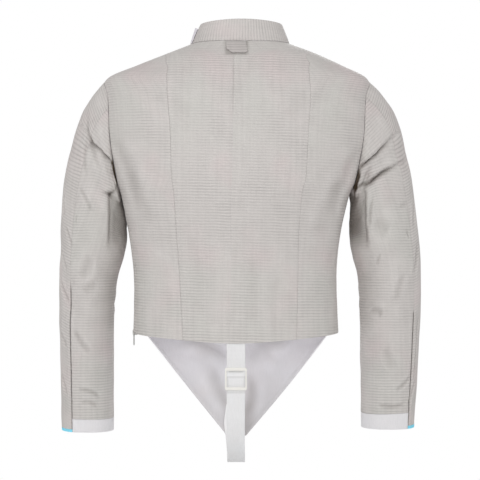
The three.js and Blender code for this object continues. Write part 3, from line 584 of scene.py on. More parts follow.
def spread(width, step=STEP):
    """Shares across a sheet: close together at its two edges, even between them."""
    if width < 2 * EDGE_PLACES[-1] + step:
        return np.linspace(0, 1, max(4, round(width / NARROW_STEP)) + 1)
    count = max(2, round((width - 2 * EDGE_PLACES[-1]) / step))
    middle = np.linspace(EDGE_PLACES[-1], width - EDGE_PLACES[-1], count + 1)[1:-1]
    return np.concatenate([EDGE_PLACES, middle, (width - EDGE_PLACES)[::-1]]) / width


def travelled(points, axis):
    """Distance covered along a grid's rows (axis 1) or columns (axis 0)."""
    steps = np.linalg.norm(np.diff(points, axis=axis), axis=-1)
    return np.concatenate([np.zeros_like(steps.take([0], axis=axis)), np.cumsum(steps, axis=axis)], axis=axis)


def even_rows(place, start, end, step=STEP):
    """Row numbers between start and end, spread by the distance that place(row) covers."""
    fine = np.linspace(start, end, FINE_ROWS)
    covered = travelled(place(fine), 0)
    return np.interp(spread(covered[-1], step) * covered[-1], covered, fine)


def grid_normals(grid, side):
    """Unit directions out of a grid of points."""
    across = np.gradient(grid, axis=1)
    along = np.gradient(grid, axis=0)
    normal = np.cross(across, along) * side
    return normal / np.maximum(np.linalg.norm(normal, axis=-1, keepdims=True), 1e-9)


def from_middle(covered):
    """Distance across a sheet, counted from its middle column."""
    return covered - covered[:, covered.shape[1] // 2][:, None]


def bell(distance, width):
    """A soft bump: 1 at no distance, almost 0 at twice the width."""
    return np.exp(-((distance / width) ** 2))


def ramp(value, start, end):
    """A smooth step from 0 at the start to 1 at the end."""
    share = np.clip((np.asarray(value, float) - start) / (end - start), 0, 1)
    return share * share * (3 - 2 * share)


print("rows close to an edge, in mm:", EDGE_PLACES.tolist())

# %% [markdown]
# ## Creases placed one by one
# A crease is a soft trough from one place to another, with a low ridge on each side. It can bow,
# lean to one side, and it fades at both ends. The tables below give each one in this garment's own
# sizes, read from the photo on the back and made alike on the sides that it doesn't show. A trough
# also gets a little painted shade and its ridges a little painted light.

# %% Crease relief
CREASE_TAPER = 0.22
RIDGE_HEIGHT = 0.32
RIDGE_PLACE = 1.9
RIDGE_WIDTH = 0.9
# painted shade in crease troughs and painted light on their ridges
CREASE_SHADE = 0.17
CREASE_LIGHTEST, CREASE_DARKEST = -0.2, 0.6
SEAM_SHADE_REACH = 1.4


def beside_line(px, py, dx, dy, bow):
    """Where a place lies beside a bowed line: the share of the line's length, and how far aside."""
    length = math.hypot(dx, dy)
    share = (px * dx + py * dy) / length**2
    inside = np.clip(share, 0, 1)
    return share, (px * dy - py * dx) / length - bow * 4 * inside * (1 - inside)


def crease_relief(angle, along, creases, radius, spacing=1.0, sharp=1.0):
    """Height in mm at each place of a chart: degrees round, and rows or mm along."""
    height = np.zeros(np.broadcast(angle, along).shape)
    for start_angle, start, end_angle, end, bow, width, depth, lean in creases:
        px = ((angle - start_angle + 180) % 360 - 180) * DEGREE * radius
        py = (along - start) * spacing
        dx = (end_angle - start_angle) * DEGREE * radius
        share, aside = beside_line(px, py, dx, (end - start) * spacing, bow)
        local = width * sharp * (1 + lean * np.sign(aside))
        ridge = bell(np.abs(aside) - RIDGE_PLACE * local, RIDGE_WIDTH * local)
        window = ramp(share, 0, CREASE_TAPER) * ramp(1 - share, 0, CREASE_TAPER)
        height += depth * window * (RIDGE_HEIGHT * ridge - bell(aside, local))
    return height


def ripple(distance, sizes, seed):
    """An uneven wave along a distance in mm: a few waves of near sizes, out of step."""
    rng = np.random.default_rng(seed)
    total = np.zeros_like(np.asarray(distance, float))
    for size in sizes:
        total += np.sin(distance / size * 2 * np.pi + rng.uniform(0, 2 * np.pi))
    return total / len(sizes)


def crumple(across, along, seed, sizes=(34, 90), waves=9):
    """Soft unevenness of worn cloth, about -1 to 1: waves of many sizes and directions in mm."""
    rng = np.random.default_rng(seed)
    total = np.zeros(np.broadcast(across, along).shape)
    for _ in range(waves):
        size = rng.uniform(*sizes)
        turn = rng.uniform(0, np.pi)
        phase = rng.uniform(0, 2 * np.pi, 2)
        place = across * np.cos(turn) + along * np.sin(turn)
        other = along * np.cos(turn) - across * np.sin(turn)
        total += np.sin(place / size * 2 * np.pi + phase[0]) * np.cos(other / size * 2.6 + phase[1])
    return total / math.sqrt(waves)


def crease_shade(relief):
    """Painted shade and light of creases, for the seam attribute: a trough is painted a little darker, and
    its ridges a little lighter.
    """
    return np.clip(-CREASE_SHADE * relief, CREASE_LIGHTEST, CREASE_DARKEST)


def seam_mask(*seams):
    """The seam attribute of a sheet: 1 on a plain seam, fading to 0 a little way from it."""
    return np.maximum.reduce([
        strength * np.clip(1 - distance / SEAM_SHADE_REACH, 0, 1) for distance, strength in seams])


print("a crease fades over", CREASE_TAPER, "of its length at each end")

# %% [markdown]
# ## Making a sheet into a mesh
# A sheet has an outer face, an inner face one thickness inside, and a rim that joins them, so it is
# one closed thin shell. The outer face and rim take the cloth, the inner face takes the lining. The
# UV map holds cloth metres, and the seam attribute says how much each point is darkened: by a seam
# that shows, and by painted shade in creases, folds, hollows and round small parts.

# %% Sheet builder
SHELL = 1.6
SHARP_EDGE = 50
CUT_SIZES = {}


def set_uv(mesh, uv):
    """Gives a mesh its cloth map, from one place in metres for each of its points."""
    corner = np.zeros(len(mesh.loops), np.int32)
    mesh.loops.foreach_get("vertex_index", corner)
    mesh.uv_layers.new(name="cloth").data.foreach_set("uv", uv[corner].astype(np.float32).ravel())


def make_mesh(name, points, faces, finishes, face_finish, uv, seam):
    """A smooth mesh object in metres, with its own UV map and its seam attribute of seams and painted shade.
    """
    mesh = bpy.data.meshes.new(name)
    mesh.from_pydata((points * MM).tolist(), [], faces.tolist())
    for finish in finishes:
        mesh.materials.append(finish)
    mesh.polygons.foreach_set("material_index", np.asarray(face_finish, np.int32))
    mesh.polygons.foreach_set("use_smooth", np.ones(len(faces), bool))
    set_uv(mesh, uv * MM)
    mesh.attributes.new("seam", "FLOAT", "POINT").data.foreach_set("value", seam.astype(np.float32))
    mesh.set_sharp_from_angle(angle=math.radians(SHARP_EDGE))
    return place_object(name, mesh)


def sheet_mesh(name, grid, side, uv, seam, cloth, lining, thickness=SHELL, normals=None, lined_end=False):
    """A closed thin shell whose outer face is the grid, with its last edge lined where that is asked."""
    rows, columns = grid.shape[:2]
    count = rows * columns
    inner = grid - (grid_normals(grid, side) if normals is None else normals) * thickness
    number = np.arange(count).reshape(rows, columns)
    a, b, c, d = number[:-1, :-1], number[:-1, 1:], number[1:, 1:], number[1:, :-1]
    front = np.stack([a, b, c, d], -1).reshape(-1, 4)
    back = np.stack([a, d, c, b], -1).reshape(-1, 4) + count
    ring = np.concatenate([number[0, :-1], number[:-1, -1], number[-1, :0:-1], number[:0:-1, 0]])
    after = np.roll(ring, -1)
    rim = np.stack([ring, ring + count, after + count, after], -1)
    faces = np.concatenate([front, back, rim])
    if side < 0:
        faces = faces[:, ::-1]
    rim_finish = np.zeros(len(rim))
    if lined_end:
        rim_finish[columns - 1:columns + rows - 2] = 1
    finish = np.concatenate([np.zeros(len(front)), np.ones(len(back)), rim_finish])
    points = np.concatenate([grid.reshape(-1, 3), inner.reshape(-1, 3)])
    both_uv, both_seam = np.tile(uv.reshape(-1, 2), (2, 1)), np.tile(seam.reshape(-1), 2)
    return make_mesh(name, points, faces, [cloth, lining], finish, both_uv, both_seam)


def cut_size(name, plain):
    """The flat size of a cut piece in metres: its largest width and length, and its area."""
    width = travelled(plain, 1)[:, -1].max() * MM
    length = travelled(plain, 0)[-1].max() * MM
    cells = np.cross(np.diff(plain, axis=1)[:-1], np.diff(plain, axis=0)[:, :-1])
    area = np.linalg.norm(cells, axis=-1).sum() * MM * MM
    width, length = round(float(width), 4), round(float(length), 4)
    CUT_SIZES[name] = (width, length, round(float(min(area, width * length)), 6))
    return CUT_SIZES[name]


print("sheets are", SHELL, "mm thick")

# %% [markdown]
# ## Body panels
# The back is cut in four: two centre pieces either side of the middle seam, and two side pieces
# that princess seams join to them. The front is one wide piece and a narrow left one, with the zip
# between. Along each seam the cloth turns in, and the sewing draws it into small uneven puckers. A
# soft shadow round the clip tab is painted on the cloth, and the creases get painted shade.

# %% Body creases
BODY_RADIUS = 150
BODY_CREASES = [
    # angle, height, angle, height, bow, width, depth, lean
    (24, -300, 15, -165, 6, 8, 2.0, 0.2),
    (31, -330, 22, -215, 4, 10, 1.2, -0.2),
    (60, -490, 57, -330, 5, 12, 0.9, 0.1),
    (74, -500, 71, -380, -4, 11, 0.8, 0.0),
    (103, -498, 106, -360, 4, 12, 0.9, 0.1),
    (121, -505, 123, -400, -3, 10, 0.8, -0.1),
    (157, -320, 165, -180, -6, 9, 1.8, -0.2),
    (149, -345, 157, -235, -4, 10, 1.1, 0.2),
    (84, -62, 86, -150, 2, 6, 0.7, 0.0),
    (52, -150, 35, -95, 7, 13, 0.9, 0.1),
    (128, -148, 150, -92, -7, 13, 0.9, -0.1),
    (340, -300, 348, -205, 5, 9, 2.0, 0.2),
    (328, -345, 341, -262, 4, 10, 1.4, 0.1),
    (203, -300, 195, -205, -5, 9, 2.0, -0.2),
    (215, -350, 199, -262, -6, 11, 1.5, -0.1),
    (228, -270, 206, -190, -8, 14, 1.3, 0.1),
    (250, -480, 246, -340, 7, 14, 1.4, 0.0),
    (285, -490, 290, -350, -6, 13, 1.2, 0.1),
    (222, -495, 217, -390, 5, 11, 1.1, 0.0),
    (322, -300, 333, -210, 8, 12, 1.4, -0.1),
    (262, -215, 300, -240, -9, 16, 1.0, 0.0),
    (240, -160, 212, -140, 6, 13, 1.1, 0.1),
]
PUCKER_SIZES = (9.0, 12.5, 17.0)
RIB_SLOPE = math.tan(math.radians(1.5))
BODY_CRUMPLE = 0.3
GROOVE_DEPTH, GROOVE_WIDTH = 0.8, 1.25
ALLOWANCE_HEIGHT, ALLOWANCE_STARTS, ALLOWANCE_ENDS = 0.5, (0.6, 2.2), (7.2, 9.0)
PUCKER_HEIGHT, PUCKER_REACH = 0.3, 8.0


def seam_relief(distance, along, seed, strength=1.0, pucker=PUCKER_HEIGHT):
    """Height beside a seam: a groove at the seam, a flat ridge of turned-in cloth, and puckers."""
    allowance = ALLOWANCE_HEIGHT * ramp(distance, *ALLOWANCE_STARTS) * (1 - ramp(distance, *ALLOWANCE_ENDS))
    puckers = pucker * ripple(along, PUCKER_SIZES, seed) * bell(distance, PUCKER_REACH)
    return strength * (allowance - GROOVE_DEPTH * bell(distance, GROOVE_WIDTH)) + np.sqrt(strength) * puckers


print(len(BODY_CREASES), "creases on the body")

# %% Body panels
BODY_PIECES = {
    # name: first seam, last seam, top level, seed of the puckers
    "back_side_left": ("side_left", "princess_left", PRINCESS_LEFT_TOP, 11),
    "back_centre_left": ("princess_left", "middle_back", NECK_LEVEL, 12),
    "back_centre_right": ("middle_back", "princess_right", NECK_LEVEL, 13),
    "back_side_right": ("princess_right", "side_right", PRINCESS_RIGHT_TOP, 14),
    "front_main": ("front_right", "zip", NECK_LEVEL, 15),
    "front_side_left": ("zip", "front_left", NECK_LEVEL, 16),
}
SEAM_SHOWS = {"princess_left": 0.28, "princess_right": 0.25, "zip": 0.4, "middle_back": 0.04}
SIDE_SEAM, ARMHOLE_SEAM, SHOULDER_SEAM = 0.6, 0.22, 0.2
MIDDLE_SEAM_PLAIN = 0.45
# the painted shadow round the clip tab
TAB_BOX = (-14.8, 19.6, -32.4, -10)
TAB_SHADE, TAB_SHADE_REACH = 0.9, 2.4
MIDDLE_SEAM_LEVELS = (6.2, 7.0, 9.6, 10.2)
ZIP_HALF_WIDTH = 4
SEAM_GAP = 0.3
SEAM_OPEN = {"middle_back": 0.08, "princess_left": 0.2, "princess_right": 0.2}
YOKE_LEVELS, YOKE_FAINTER = (9.4, 10.1), 0.6
CREASE_CALM, CREASE_CALM_REACH, HEM_CALM_REACH = 0.8, 12, 14
HEM_WAVE, HEM_WAVE_SIZES, HEM_WAVE_SEED, HEM_WAVE_FROM = 0.5, (46, 71, 103), 5, (380, 500)
HEM_MM_A_DEGREE = 2.6
THIN_END, THIN_END_SUNK = 6, -0.2
BODY_CRUMPLE_SEED, SLEEVE_CRUMPLE_SEED = 3, 7
LAST_SEED_APART, ARMHOLE_SEED_APART = 20, 40


def seam_line(seam, level):
    """The angle of a named seam at each level of the body."""
    level = np.asarray(level, float)
    if seam in SEAM_ANGLES:
        angle = seam_angle(seam, level)
        if seam == "princess_left":
            return np.where(level > PRINCESS_LEFT_TOP, 0.0, np.maximum(angle, PRINCESS_END))
        if seam == "princess_right":
            return np.where(level > PRINCESS_RIGHT_TOP, 180.0, np.minimum(angle, 180 - PRINCESS_END))
        return angle + 360 if seam == "zip" else angle
    back, front = armhole(ARMHOLE_BACK, level), armhole(ARMHOLE_FRONT, level)
    return {"side_left": back, "side_right": 180 - back,
            "front_right": 180 + front, "front_left": 360 - front}[seam]


def seam_shows(seam, level):
    """How plainly a seam shows at each level: an armhole most, a shoulder seam least."""
    if seam == "middle_back":
        start, plain, end, gone = MIDDLE_SEAM_LEVELS
        upper = ramp(level, start, plain) * (1 - ramp(level, end, gone))
        return SEAM_SHOWS[seam] + (MIDDLE_SEAM_PLAIN - SEAM_SHOWS[seam]) * upper
    if seam in SEAM_SHOWS:
        return SEAM_SHOWS[seam] * (1 - YOKE_FAINTER * ramp(level, *YOKE_LEVELS) * (seam != "zip"))
    upper = np.where(level < SHOULDER_LEVEL, ARMHOLE_SEAM, SHOULDER_SEAM)
    return np.where(level < ARMPIT_LEVEL, SIDE_SEAM, upper)


def sheet_edge(seam, level, hand):
    """The angle of a sheet's edge: its seam's line, moved into the sheet by its share of the gap."""
    gap = ZIP_HALF_WIDTH + SEAM_GAP / 2 if seam == "zip" else SEAM_OPEN.get(seam, SEAM_GAP) / 2
    angle = seam_line(seam, level)
    reach = np.linalg.norm(body_point(angle + 0.5, level) - body_point(angle - 0.5, level), axis=-1)
    return angle + hand * gap / reach


def tab_shadow(points):
    """A soft shadow of the clip tab, painted on the cloth round it."""
    left, right, foot, top = TAB_BOX
    across = np.maximum(np.maximum(left - points[..., 0], points[..., 0] - right), 0)
    down = np.maximum(np.maximum(foot - points[..., 2], points[..., 2] - top), 0)
    return TAB_SHADE * bell(np.hypot(across, down), TAB_SHADE_REACH)


def body_panel(name):
    """One cut piece of the body as a creased sheet."""
    first_seam, last_seam, top, seed = BODY_PIECES[name]

    def between(level):
        return body_point((seam_line(first_seam, level) + seam_line(last_seam, level)) / 2, level)

    levels = even_rows(between, 0, top)
    first = sheet_edge(first_seam, levels, 1)[:, None]
    last = sheet_edge(last_seam, levels, -1)[:, None]
    levels = levels[:, None]
    row = len(levels) // 3
    fine = first[row] + (last - first)[row] * np.linspace(0, 1, 300)
    width = travelled(body_point(fine, levels[row])[None], 1)[0, -1]
    angles = first + (last - first) * spread(width)
    plain = body_point(angles, levels)
    covered, along = travelled(plain, 1), travelled(plain, 0)
    left, right = covered, covered[:, -1:] - covered
    relief = crease_relief(angles, plain[..., 2], BODY_CREASES, BODY_RADIUS)
    relief *= ramp(np.minimum(left, right), 0, CREASE_CALM_REACH) * CREASE_CALM + (1 - CREASE_CALM)
    relief += BODY_CRUMPLE * crumple(angles * BODY_RADIUS * DEGREE, plain[..., 2], BODY_CRUMPLE_SEED)
    relief *= ramp(along[-1:] - along, 0, HEM_CALM_REACH)
    # painted shade in crease troughs, painted light on their ridges
    shade = crease_shade(relief)
    shows_first, shows_last = seam_shows(first_seam, levels), seam_shows(last_seam, levels)
    relief += seam_relief(left, along, seed, shows_first)
    relief += seam_relief(right, along, seed + LAST_SEED_APART, shows_last)
    hem_wave = ripple(angles * HEM_MM_A_DEGREE, HEM_WAVE_SIZES, HEM_WAVE_SEED)
    relief += HEM_WAVE * hem_wave * ramp(-plain[..., 2], *HEM_WAVE_FROM)
    relief = np.where(covered[:, -1:] < THIN_END, THIN_END_SUNK, relief)
    grid = plain + grid_normals(plain, 1) * relief[..., None]
    middle = plain.shape[1] // 2
    up = along[:, middle] - along[0, middle] + plain[0, middle, 2]
    rise = up[:, None] + plain[..., 2] - plain[:, middle, 2][:, None] - RIB_SLOPE * plain[..., 0]
    # seam attribute: dark seams, painted crease shade and light, and the painted shadow round the tab
    seam = seam_mask((left, shows_first), (right, shows_last)) + shade
    if "centre" in name:
        seam = np.maximum(seam, tab_shadow(plain))
    obj = sheet_mesh("cloth_" + name, grid, 1, np.stack([from_middle(covered), rise], -1), seam, LAME, LINING)
    print(obj.name, "cut size", cut_size(name, plain), "faces", len(obj.data.polygons))
    return obj, grid


PIECES = {}
GRIDS = {}
for piece_name in BODY_PIECES:
    PIECES[piece_name], GRIDS[piece_name] = body_panel(piece_name)

# %% [markdown]
# ## Sleeves
# A sleeve is cut in two: a wide upper piece and an under piece, with a seam at the back and one at
# the front. It starts at the armhole's own loop and eases into round rings down the arm. The folds
# at the armpit come from cloth that is cut for a raised arm and has nowhere to go when it hangs. Their
# floors, the hollow beside the armpit and the slit at the armhole are too deep for a thin sheet, so
# shade is painted on them through the seam attribute.

# %% Sleeve sections and folds
SLEEVE_POWER = 2.15
SLEEVE_COLUMNS = 20
ARMHOLE_STEPS = 10
ARMHOLE_EASE = 3
SLEEVE_RADIUS = 52
RING_SPACING = 34
CUFF_RING_SPACING = 24

SLEEVE_SECTIONS = table(
    ("outer_x", "outer_z", "inner_x", "inner_z", "half_depth", "middle_y", "outer_shift", "inner_shift"),
    (223.5, -68, 193.5, -268, 56, -9, 1.7, 1.7),
    (240.5, -84, 195.5, -279, 59, -11, 0.6, 1.7),
    (256.5, -103, 195, -291, 61, -14, -0.2, 1.2),
    (269.5, -124, 194, -303, 62, -17, -0.7, 0.6),
    (280.5, -152, 193, -317, 62, -20, -0.8, 0),
    (290, -186, 193, -332, 61, -23, -0.4, -0.3),
    (298.5, -222, 194.5, -350, 60, -26, 0, -0.4),
    (304.5, -260, 199, -372, 59, -29, -0.3, -0.4),
    (308.5, -300, 206.5, -397, 57, -31, -1.4, 0),
    (312, -342, 211, -423, 56, -33, -2.8, 0.8),
    (314.5, -385, 213.5, -452, 55, -34, -3.6, 1.8),
    (315, -430, 214.5, -483, 54, -35, -3.6, 2),
    (314.5, -475, 215, -515, 53, -36, -3.2, 1.8),
    (313, -520, 215, -549, 52, -37, -2.6, 1.6),
    (311.5, -565, 215.5, -584, 50, -38, -2, 1.4),
    (309.5, -610, 216, -620, 49, -39, -1, 1.2),
    (308, -655, 216, -656, 48, -40, 0, 1),
    (307, -679, 216.5, -680, 47.5, -40, 0, 0.8),
)
SLEEVES = {
    "left": {"sign": 1, "rear": 3.4, "front": 13, "under_hem": 15.87, "upper_hem": 16.5, "end": 16.74},
    "right": {"sign": -1, "rear": 2.66, "front": 12, "under_hem": 15.62, "upper_hem": 16.26, "end": 16.5},
}
SLEEVE_FOLDS = {
    # from angle, from ring, to angle, to ring, width, depth
    "left": [
        (48, 3.7, 76, 3.0, 15, 5),
        (76, 3.0, 116, 1.5, 16, 6.5),
        (88, 5.2, 122, 2.6, 16, 4.5),
        (22, 9.6, 64, 11.2, 20, 3.5),
        (262, 3.4, 236, 1.6, 16, 5.5),
        (300, 8.4, 262, 9.3, 20, 4),
    ],
    "right": [
        (22, 5.2, 112, 2.6, 15, 6),
        (112, 2.6, 138, 1.0, 15, 6),
        (84, 4.5, 134, 2.1, 14, 4),
        (258, 3.8, 238, 1.8, 16, 5.5),
        (298, 7.8, 256, 9.0, 20, 4),
    ],
}
SLEEVE_CREASES = {
    # from angle, from ring, to angle, to ring, bow, width, depth, lean
    "left": [
        (53, 3.3, 70, 5.1, -3, 5.0, 1.3, 0.3),
        (63, 5.9, 90, 6.4, 2, 6.0, 1.3, 0.2),
        (66, 7.25, 67.7, 7.7, 0, 1.6, 1.2, 0.0),
        (40, 8.2, 63, 8.8, 1, 4.0, 1.6, 0.2),
        (8, 9.2, 50, 10.0, 2, 5.0, 1.6, 0.2),
        (20, 10.5, 60, 11.2, -2, 5.0, 1.4, 0.2),
        (24, 7.0, 36, 7.9, -2, 5.0, 1.5, 0.0),
        (98, 8.4, 82, 9.9, 3, 9.0, 1.2, 0.1),
        (112, 9.4, 88, 10.4, 2, 8.0, 1.0, 0.1),
        (70, 12.2, 104, 13.0, -3, 6.0, 1.3, 0.2),
        (24, 12.6, 50, 13.1, 2, 5.0, 1.2, 0.1),
        (76, 14.7, 124, 14.9, 4, 4.0, 1.5, 0.2),
        (82, 15.2, 118, 15.3, 3, 4.0, 1.3, 0.1),
        (22, 14.2, 48, 15.0, 2, 5.0, 1.2, 0.1),
        (270, 4.0, 236, 2.0, 4, 6.0, 3.5, 0.3),
        (290, 6.4, 250, 7.2, -4, 8.0, 2.0, 0.1),
        (305, 10.2, 280, 11.6, 4, 8.0, 1.6, 0.1),
        (262, 12.0, 268, 14.4, -4, 8.0, 1.3, 0.0),
        (330, 7.0, 338, 9.0, 3, 8.0, 1.3, 0.0),
        (200, 9.4, 170, 10.4, 4, 8.0, 1.6, 0.1),
    ],
    "right": [
        (103, 4.7, 116, 6.3, 2, 4.0, 1.3, 0.2),
        (107, 6.2, 90, 7.6, -2, 9.0, 1.2, 0.1),
        (108, 8.1, 116, 8.5, 1, 5.0, 1.0, 0.1),
        (58, 8.0, 53, 8.6, 0, 1.6, 1.3, 0.0),
        (44, 7.2, 66, 6.9, 1, 4.0, 1.0, 0.1),
        (20, 7.2, 36, 8.4, 2, 5.0, 1.4, 0.0),
        (28, 9.0, 48, 10.2, -2, 6.0, 1.2, 0.1),
        (70, 9.8, 86, 10.9, 2, 8.0, 1.0, 0.0),
        (30, 11.8, 37, 14.6, 2, 3.0, 1.6, 0.2),
        (110, 11.2, 138, 10.6, 3, 7.0, 1.3, 0.1),
        (104, 12.6, 84, 13.8, 3, 8.0, 1.0, 0.0),
        (48, 14.2, 84, 14.7, -2, 4.0, 1.4, 0.2),
        (30, 14.4, 50, 15.4, 2, 4.0, 1.6, 0.1),
        (60, 15.3, 120, 15.2, -3, 3.6, 1.5, 0.1),
        (268, 4.4, 240, 2.2, 4, 6.0, 3.5, 0.3),
        (292, 6.2, 254, 7.0, -4, 8.0, 2.0, 0.1),
        (304, 9.4, 276, 10.8, 4, 8.0, 1.6, 0.1),
        (258, 12.2, 264, 14.2, -4, 8.0, 1.3, 0.0),
        (332, 7.4, 338, 9.6, 3, 8.0, 1.3, 0.0),
        (196, 9.0, 168, 10.2, 4, 8.0, 1.6, 0.1),
    ],
}
FOLD_LINES = {
    # each fold is a line of (angle, ring, depth, width), from its soft end to the armhole
    "left": [
        [(32, 2.5, 0.5, 4), (42, 2.8, 3.4, 3.6), (54, 3.1, 5.4, 3.2), (66, 3.0, 7, 2.6), (78, 2.6, 8, 2.4),
         (90, 2.05, 9.5, 2.4), (106, 1.04, 9.5, 2.6), (115, 0.58, 8, 3), (124, 0.25, 6, 3.2)],
        [(98, 4.5, 0.5, 2.6), (106, 4.25, 4, 2.6), (115.6, 3.72, 7, 2.8), (124, 2.9, 5.5, 2.6),
         (131, 1.9, 4, 2.4), (135, 1.1, 3, 2.4)],
        [(258, 3.6, 1, 4), (244, 2.4, 5, 3.6), (234, 1.2, 7, 4), (228, 0.5, 5, 4)],
    ],
    "right": [
        [(34, 3.8, 0.4, 4), (50, 3.6, 2.5, 3.4), (65.5, 3.3, 5, 3), (85, 2.7, 8, 2.4), (98, 1.9, 9.5, 2.4),
         (109, 1.05, 9, 2.6), (116, 0.5, 7, 2.8)],
        [(6, 5.3, 2.0, 2.0), (26, 5.3, 2.8, 2.0), (42, 5.1, 3.0, 2.4), (59, 4.9, 4, 2.6), (86.4, 4.1, 8, 2.4),
         (102.6, 3.46, 8.5, 2.6), (117, 2.85, 7.5, 2.8), (131, 1.8, 6, 3), (142, 1.05, 5, 3.2)],
        [(262, 3.8, 1, 4), (246, 2.6, 5, 3.6), (238, 1.5, 7, 4), (231, 0.6, 5, 4)],
    ],
}
HOLLOWS = {
    # from angle, plain by, full until, to angle, top ring, full from, full until, to ring, depth,
    # then how far the first angle moves with each ring, and the top and the low ring with each angle
    "left": (108, 118, 140, 176, 3.3, 3.8, 6.2, 7.7, 12, 3.6, 0.05, 0.02),
    "right": (110, 124, 146, 178, 2.6, 3.3, 6.2, 7.9, 12, 2.4, 0.061, 0.03),
}
GAPS = {
    # from angle, to angle, from ring, to ring: the slit beside the armhole, where shade is painted
    "left": (111, 138, -1.0, 0.95),
    "right": (121, 152, -1.0, 1.35),
}
# painted shade: the hollow, the slit and the fold floors are darkened in the cloth's colour
HOLLOW_SHADE = {"left": 1.2, "right": 1.85}
GAP_SHADE = 2.6
FOLD_SHADE = 2.1
DARKEST = 2.7
REAR_SEAM_FROM = {"left": 10.45, "right": 11.65}
SLEEVE_STEP = 2.3
SLEEVE_CRUMPLE = 0.42
FOLD_DEPTH_FROM, FOLD_DEPTH_FULL = 2, 8.0
# trough width, ridge height, ridge place and ridge width, all in widths of the fold
FOLD_UPPER, FOLD_LOWER = (0.6, 0.26, 2.4, 1.4), (1.9, 0.12, 4.6, 2.0)
FLOOR_UPPER, FLOOR_LOWER = 0.7, 1.3
HOLLOW_SHADE_PAST, HOLLOW_SHADE_FULL, HOLLOW_SHADE_LEAST = (20, 50), 14, 0.3
GAP_START, GAP_END, GAP_TOP, GAP_LOW = (-5, 3), (-4, 8), (0, 0.3), (-0.3, 0.1)
TUCKED_FLAT = 0.7
TUCKED_FROM, TUCKED_TO, TUCKED_RINGS = (100, 110), (176, 190), (2.4, 4.2)
ARMHOLE_FADE = 0.8
SLEEVE_CREASE_SCALE = 1.7
SLEEVE_CREASE_SHARP = 0.72
SLEEVE_CALM, SLEEVE_CALM_REACH = 0.6, 5
TOP_CALM_RINGS = 0.35
EDGE_LOOK = 0.15
ELBOW_RING = 8.0
FRONT_SEAM_SHOWS, FRONT_PUCKER = 0.7, 0.22
TOP_SEAM_SHOWS, TOP_PUCKER = 0.3, 0.25
REAR_SEAM_FLAT, REAR_SEAM_STEP = 0.12, (-0.1, 0.15)
REAR_LAP, REAR_LAP_REACH = {"upper": 0.7, "under": -0.35}, (0.4, 12)
CAP_TURN = 45
ARM_TURN = 24
ARM_TURN_RINGS = (3.4, 6.0)
OUTER_SLOPE = math.tan(math.radians(17))
OUTER_REACH, OUTER_FROM, OUTER_TO = 70, (100, 200), (300, 350)
OUT_OF_REACH = 99
CAP_EDGE = {
    # angle, ring of the line under which the cap's slanting ribs end
    "left": ((0, 3.9), (48, 3.2), (72, 2.8), (90, 2.0), (106, 1.0), (130, 0.2), (180, 0.2), (236, 1.6),
             (262, 3.4), (360, 3.9)),
    "right": ((0, 4.2), (34, 3.8), (65, 3.3), (85, 2.7), (111, 0.9), (130, 0.2), (180, 0.2), (238, 1.8),
              (258, 3.8), (360, 4.2)),
}
CAP_EDGE_WIDTH = 0.12
print({side: len(rows) for side, rows in SLEEVE_CREASES.items()}, "fine creases a sleeve")

# %% Sleeve surface


def armhole_loop(sign, column):
    """The armhole's edge at a column of the sleeve's ring: 0 at the shoulder, 10 at the armpit."""
    k = np.mod(column, SLEEVE_COLUMNS)
    back = k <= ARMHOLE_STEPS
    step = np.where(back, ARMHOLE_STEPS - k, k - ARMHOLE_STEPS)
    level = ARMPIT_LEVEL + (SHOULDER_LEVEL - ARMPIT_LEVEL) * step / ARMHOLE_STEPS
    turn = np.where(back, armhole(ARMHOLE_BACK, level), -armhole(ARMHOLE_FRONT, level))
    point = body_point(turn if sign > 0 else 180 - turn, level)
    return point + np.array([sign * SEAM_GAP, 0, 0])


def tube_point(sign, angle, ring):
    """A point of a sleeve's plain tube: degrees round from the outer line towards the back."""
    at = {name: smooth(values, ring) for name, values in SLEEVE_SECTIONS.items()}
    outer_x = at["outer_x"] + sign * at["outer_shift"]
    inner_x = at["inner_x"] + sign * at["inner_shift"]
    c, s = np.cos(angle * DEGREE), np.sin(angle * DEGREE)
    c = np.sign(c) * np.abs(c) ** (2 / SLEEVE_POWER)
    s = np.sign(s) * np.abs(s) ** (2 / SLEEVE_POWER)
    x = (outer_x + inner_x) / 2 + (outer_x - inner_x) / 2 * c
    z = (at["outer_z"] + at["inner_z"]) / 2 + (at["outer_z"] - at["inner_z"]) / 2 * c
    return np.stack([sign * x, at["middle_y"] + at["half_depth"] * s, z * np.ones_like(x)], -1)


def tube_middle(sign, ring):
    """The middle of a sleeve's plain tube at each ring."""
    return (tube_point(sign, 0 * ring, ring) + tube_point(sign, 0 * ring + 180, ring)) / 2


def fold_depth(side, angle, ring):
    """Depth of the sleeve's large folds, the same soft troughs as in the part's source."""
    depth = np.zeros(np.broadcast(angle, ring).shape)
    for start_angle, start, end_angle, end, width, fold in SLEEVE_FOLDS[side]:
        px = ((angle - start_angle + 540) % 360 - 180) * DEGREE * SLEEVE_RADIUS
        py = (ring - start) * RING_SPACING
        dx = (end_angle - start_angle) * DEGREE * SLEEVE_RADIUS
        dy = (end - start) * RING_SPACING
        share = np.clip((px * dx + py * dy) / (dx * dx + dy * dy), 0, 1)
        depth += fold * bell(np.hypot(px - dx * share, py - dy * share), width)
    return depth


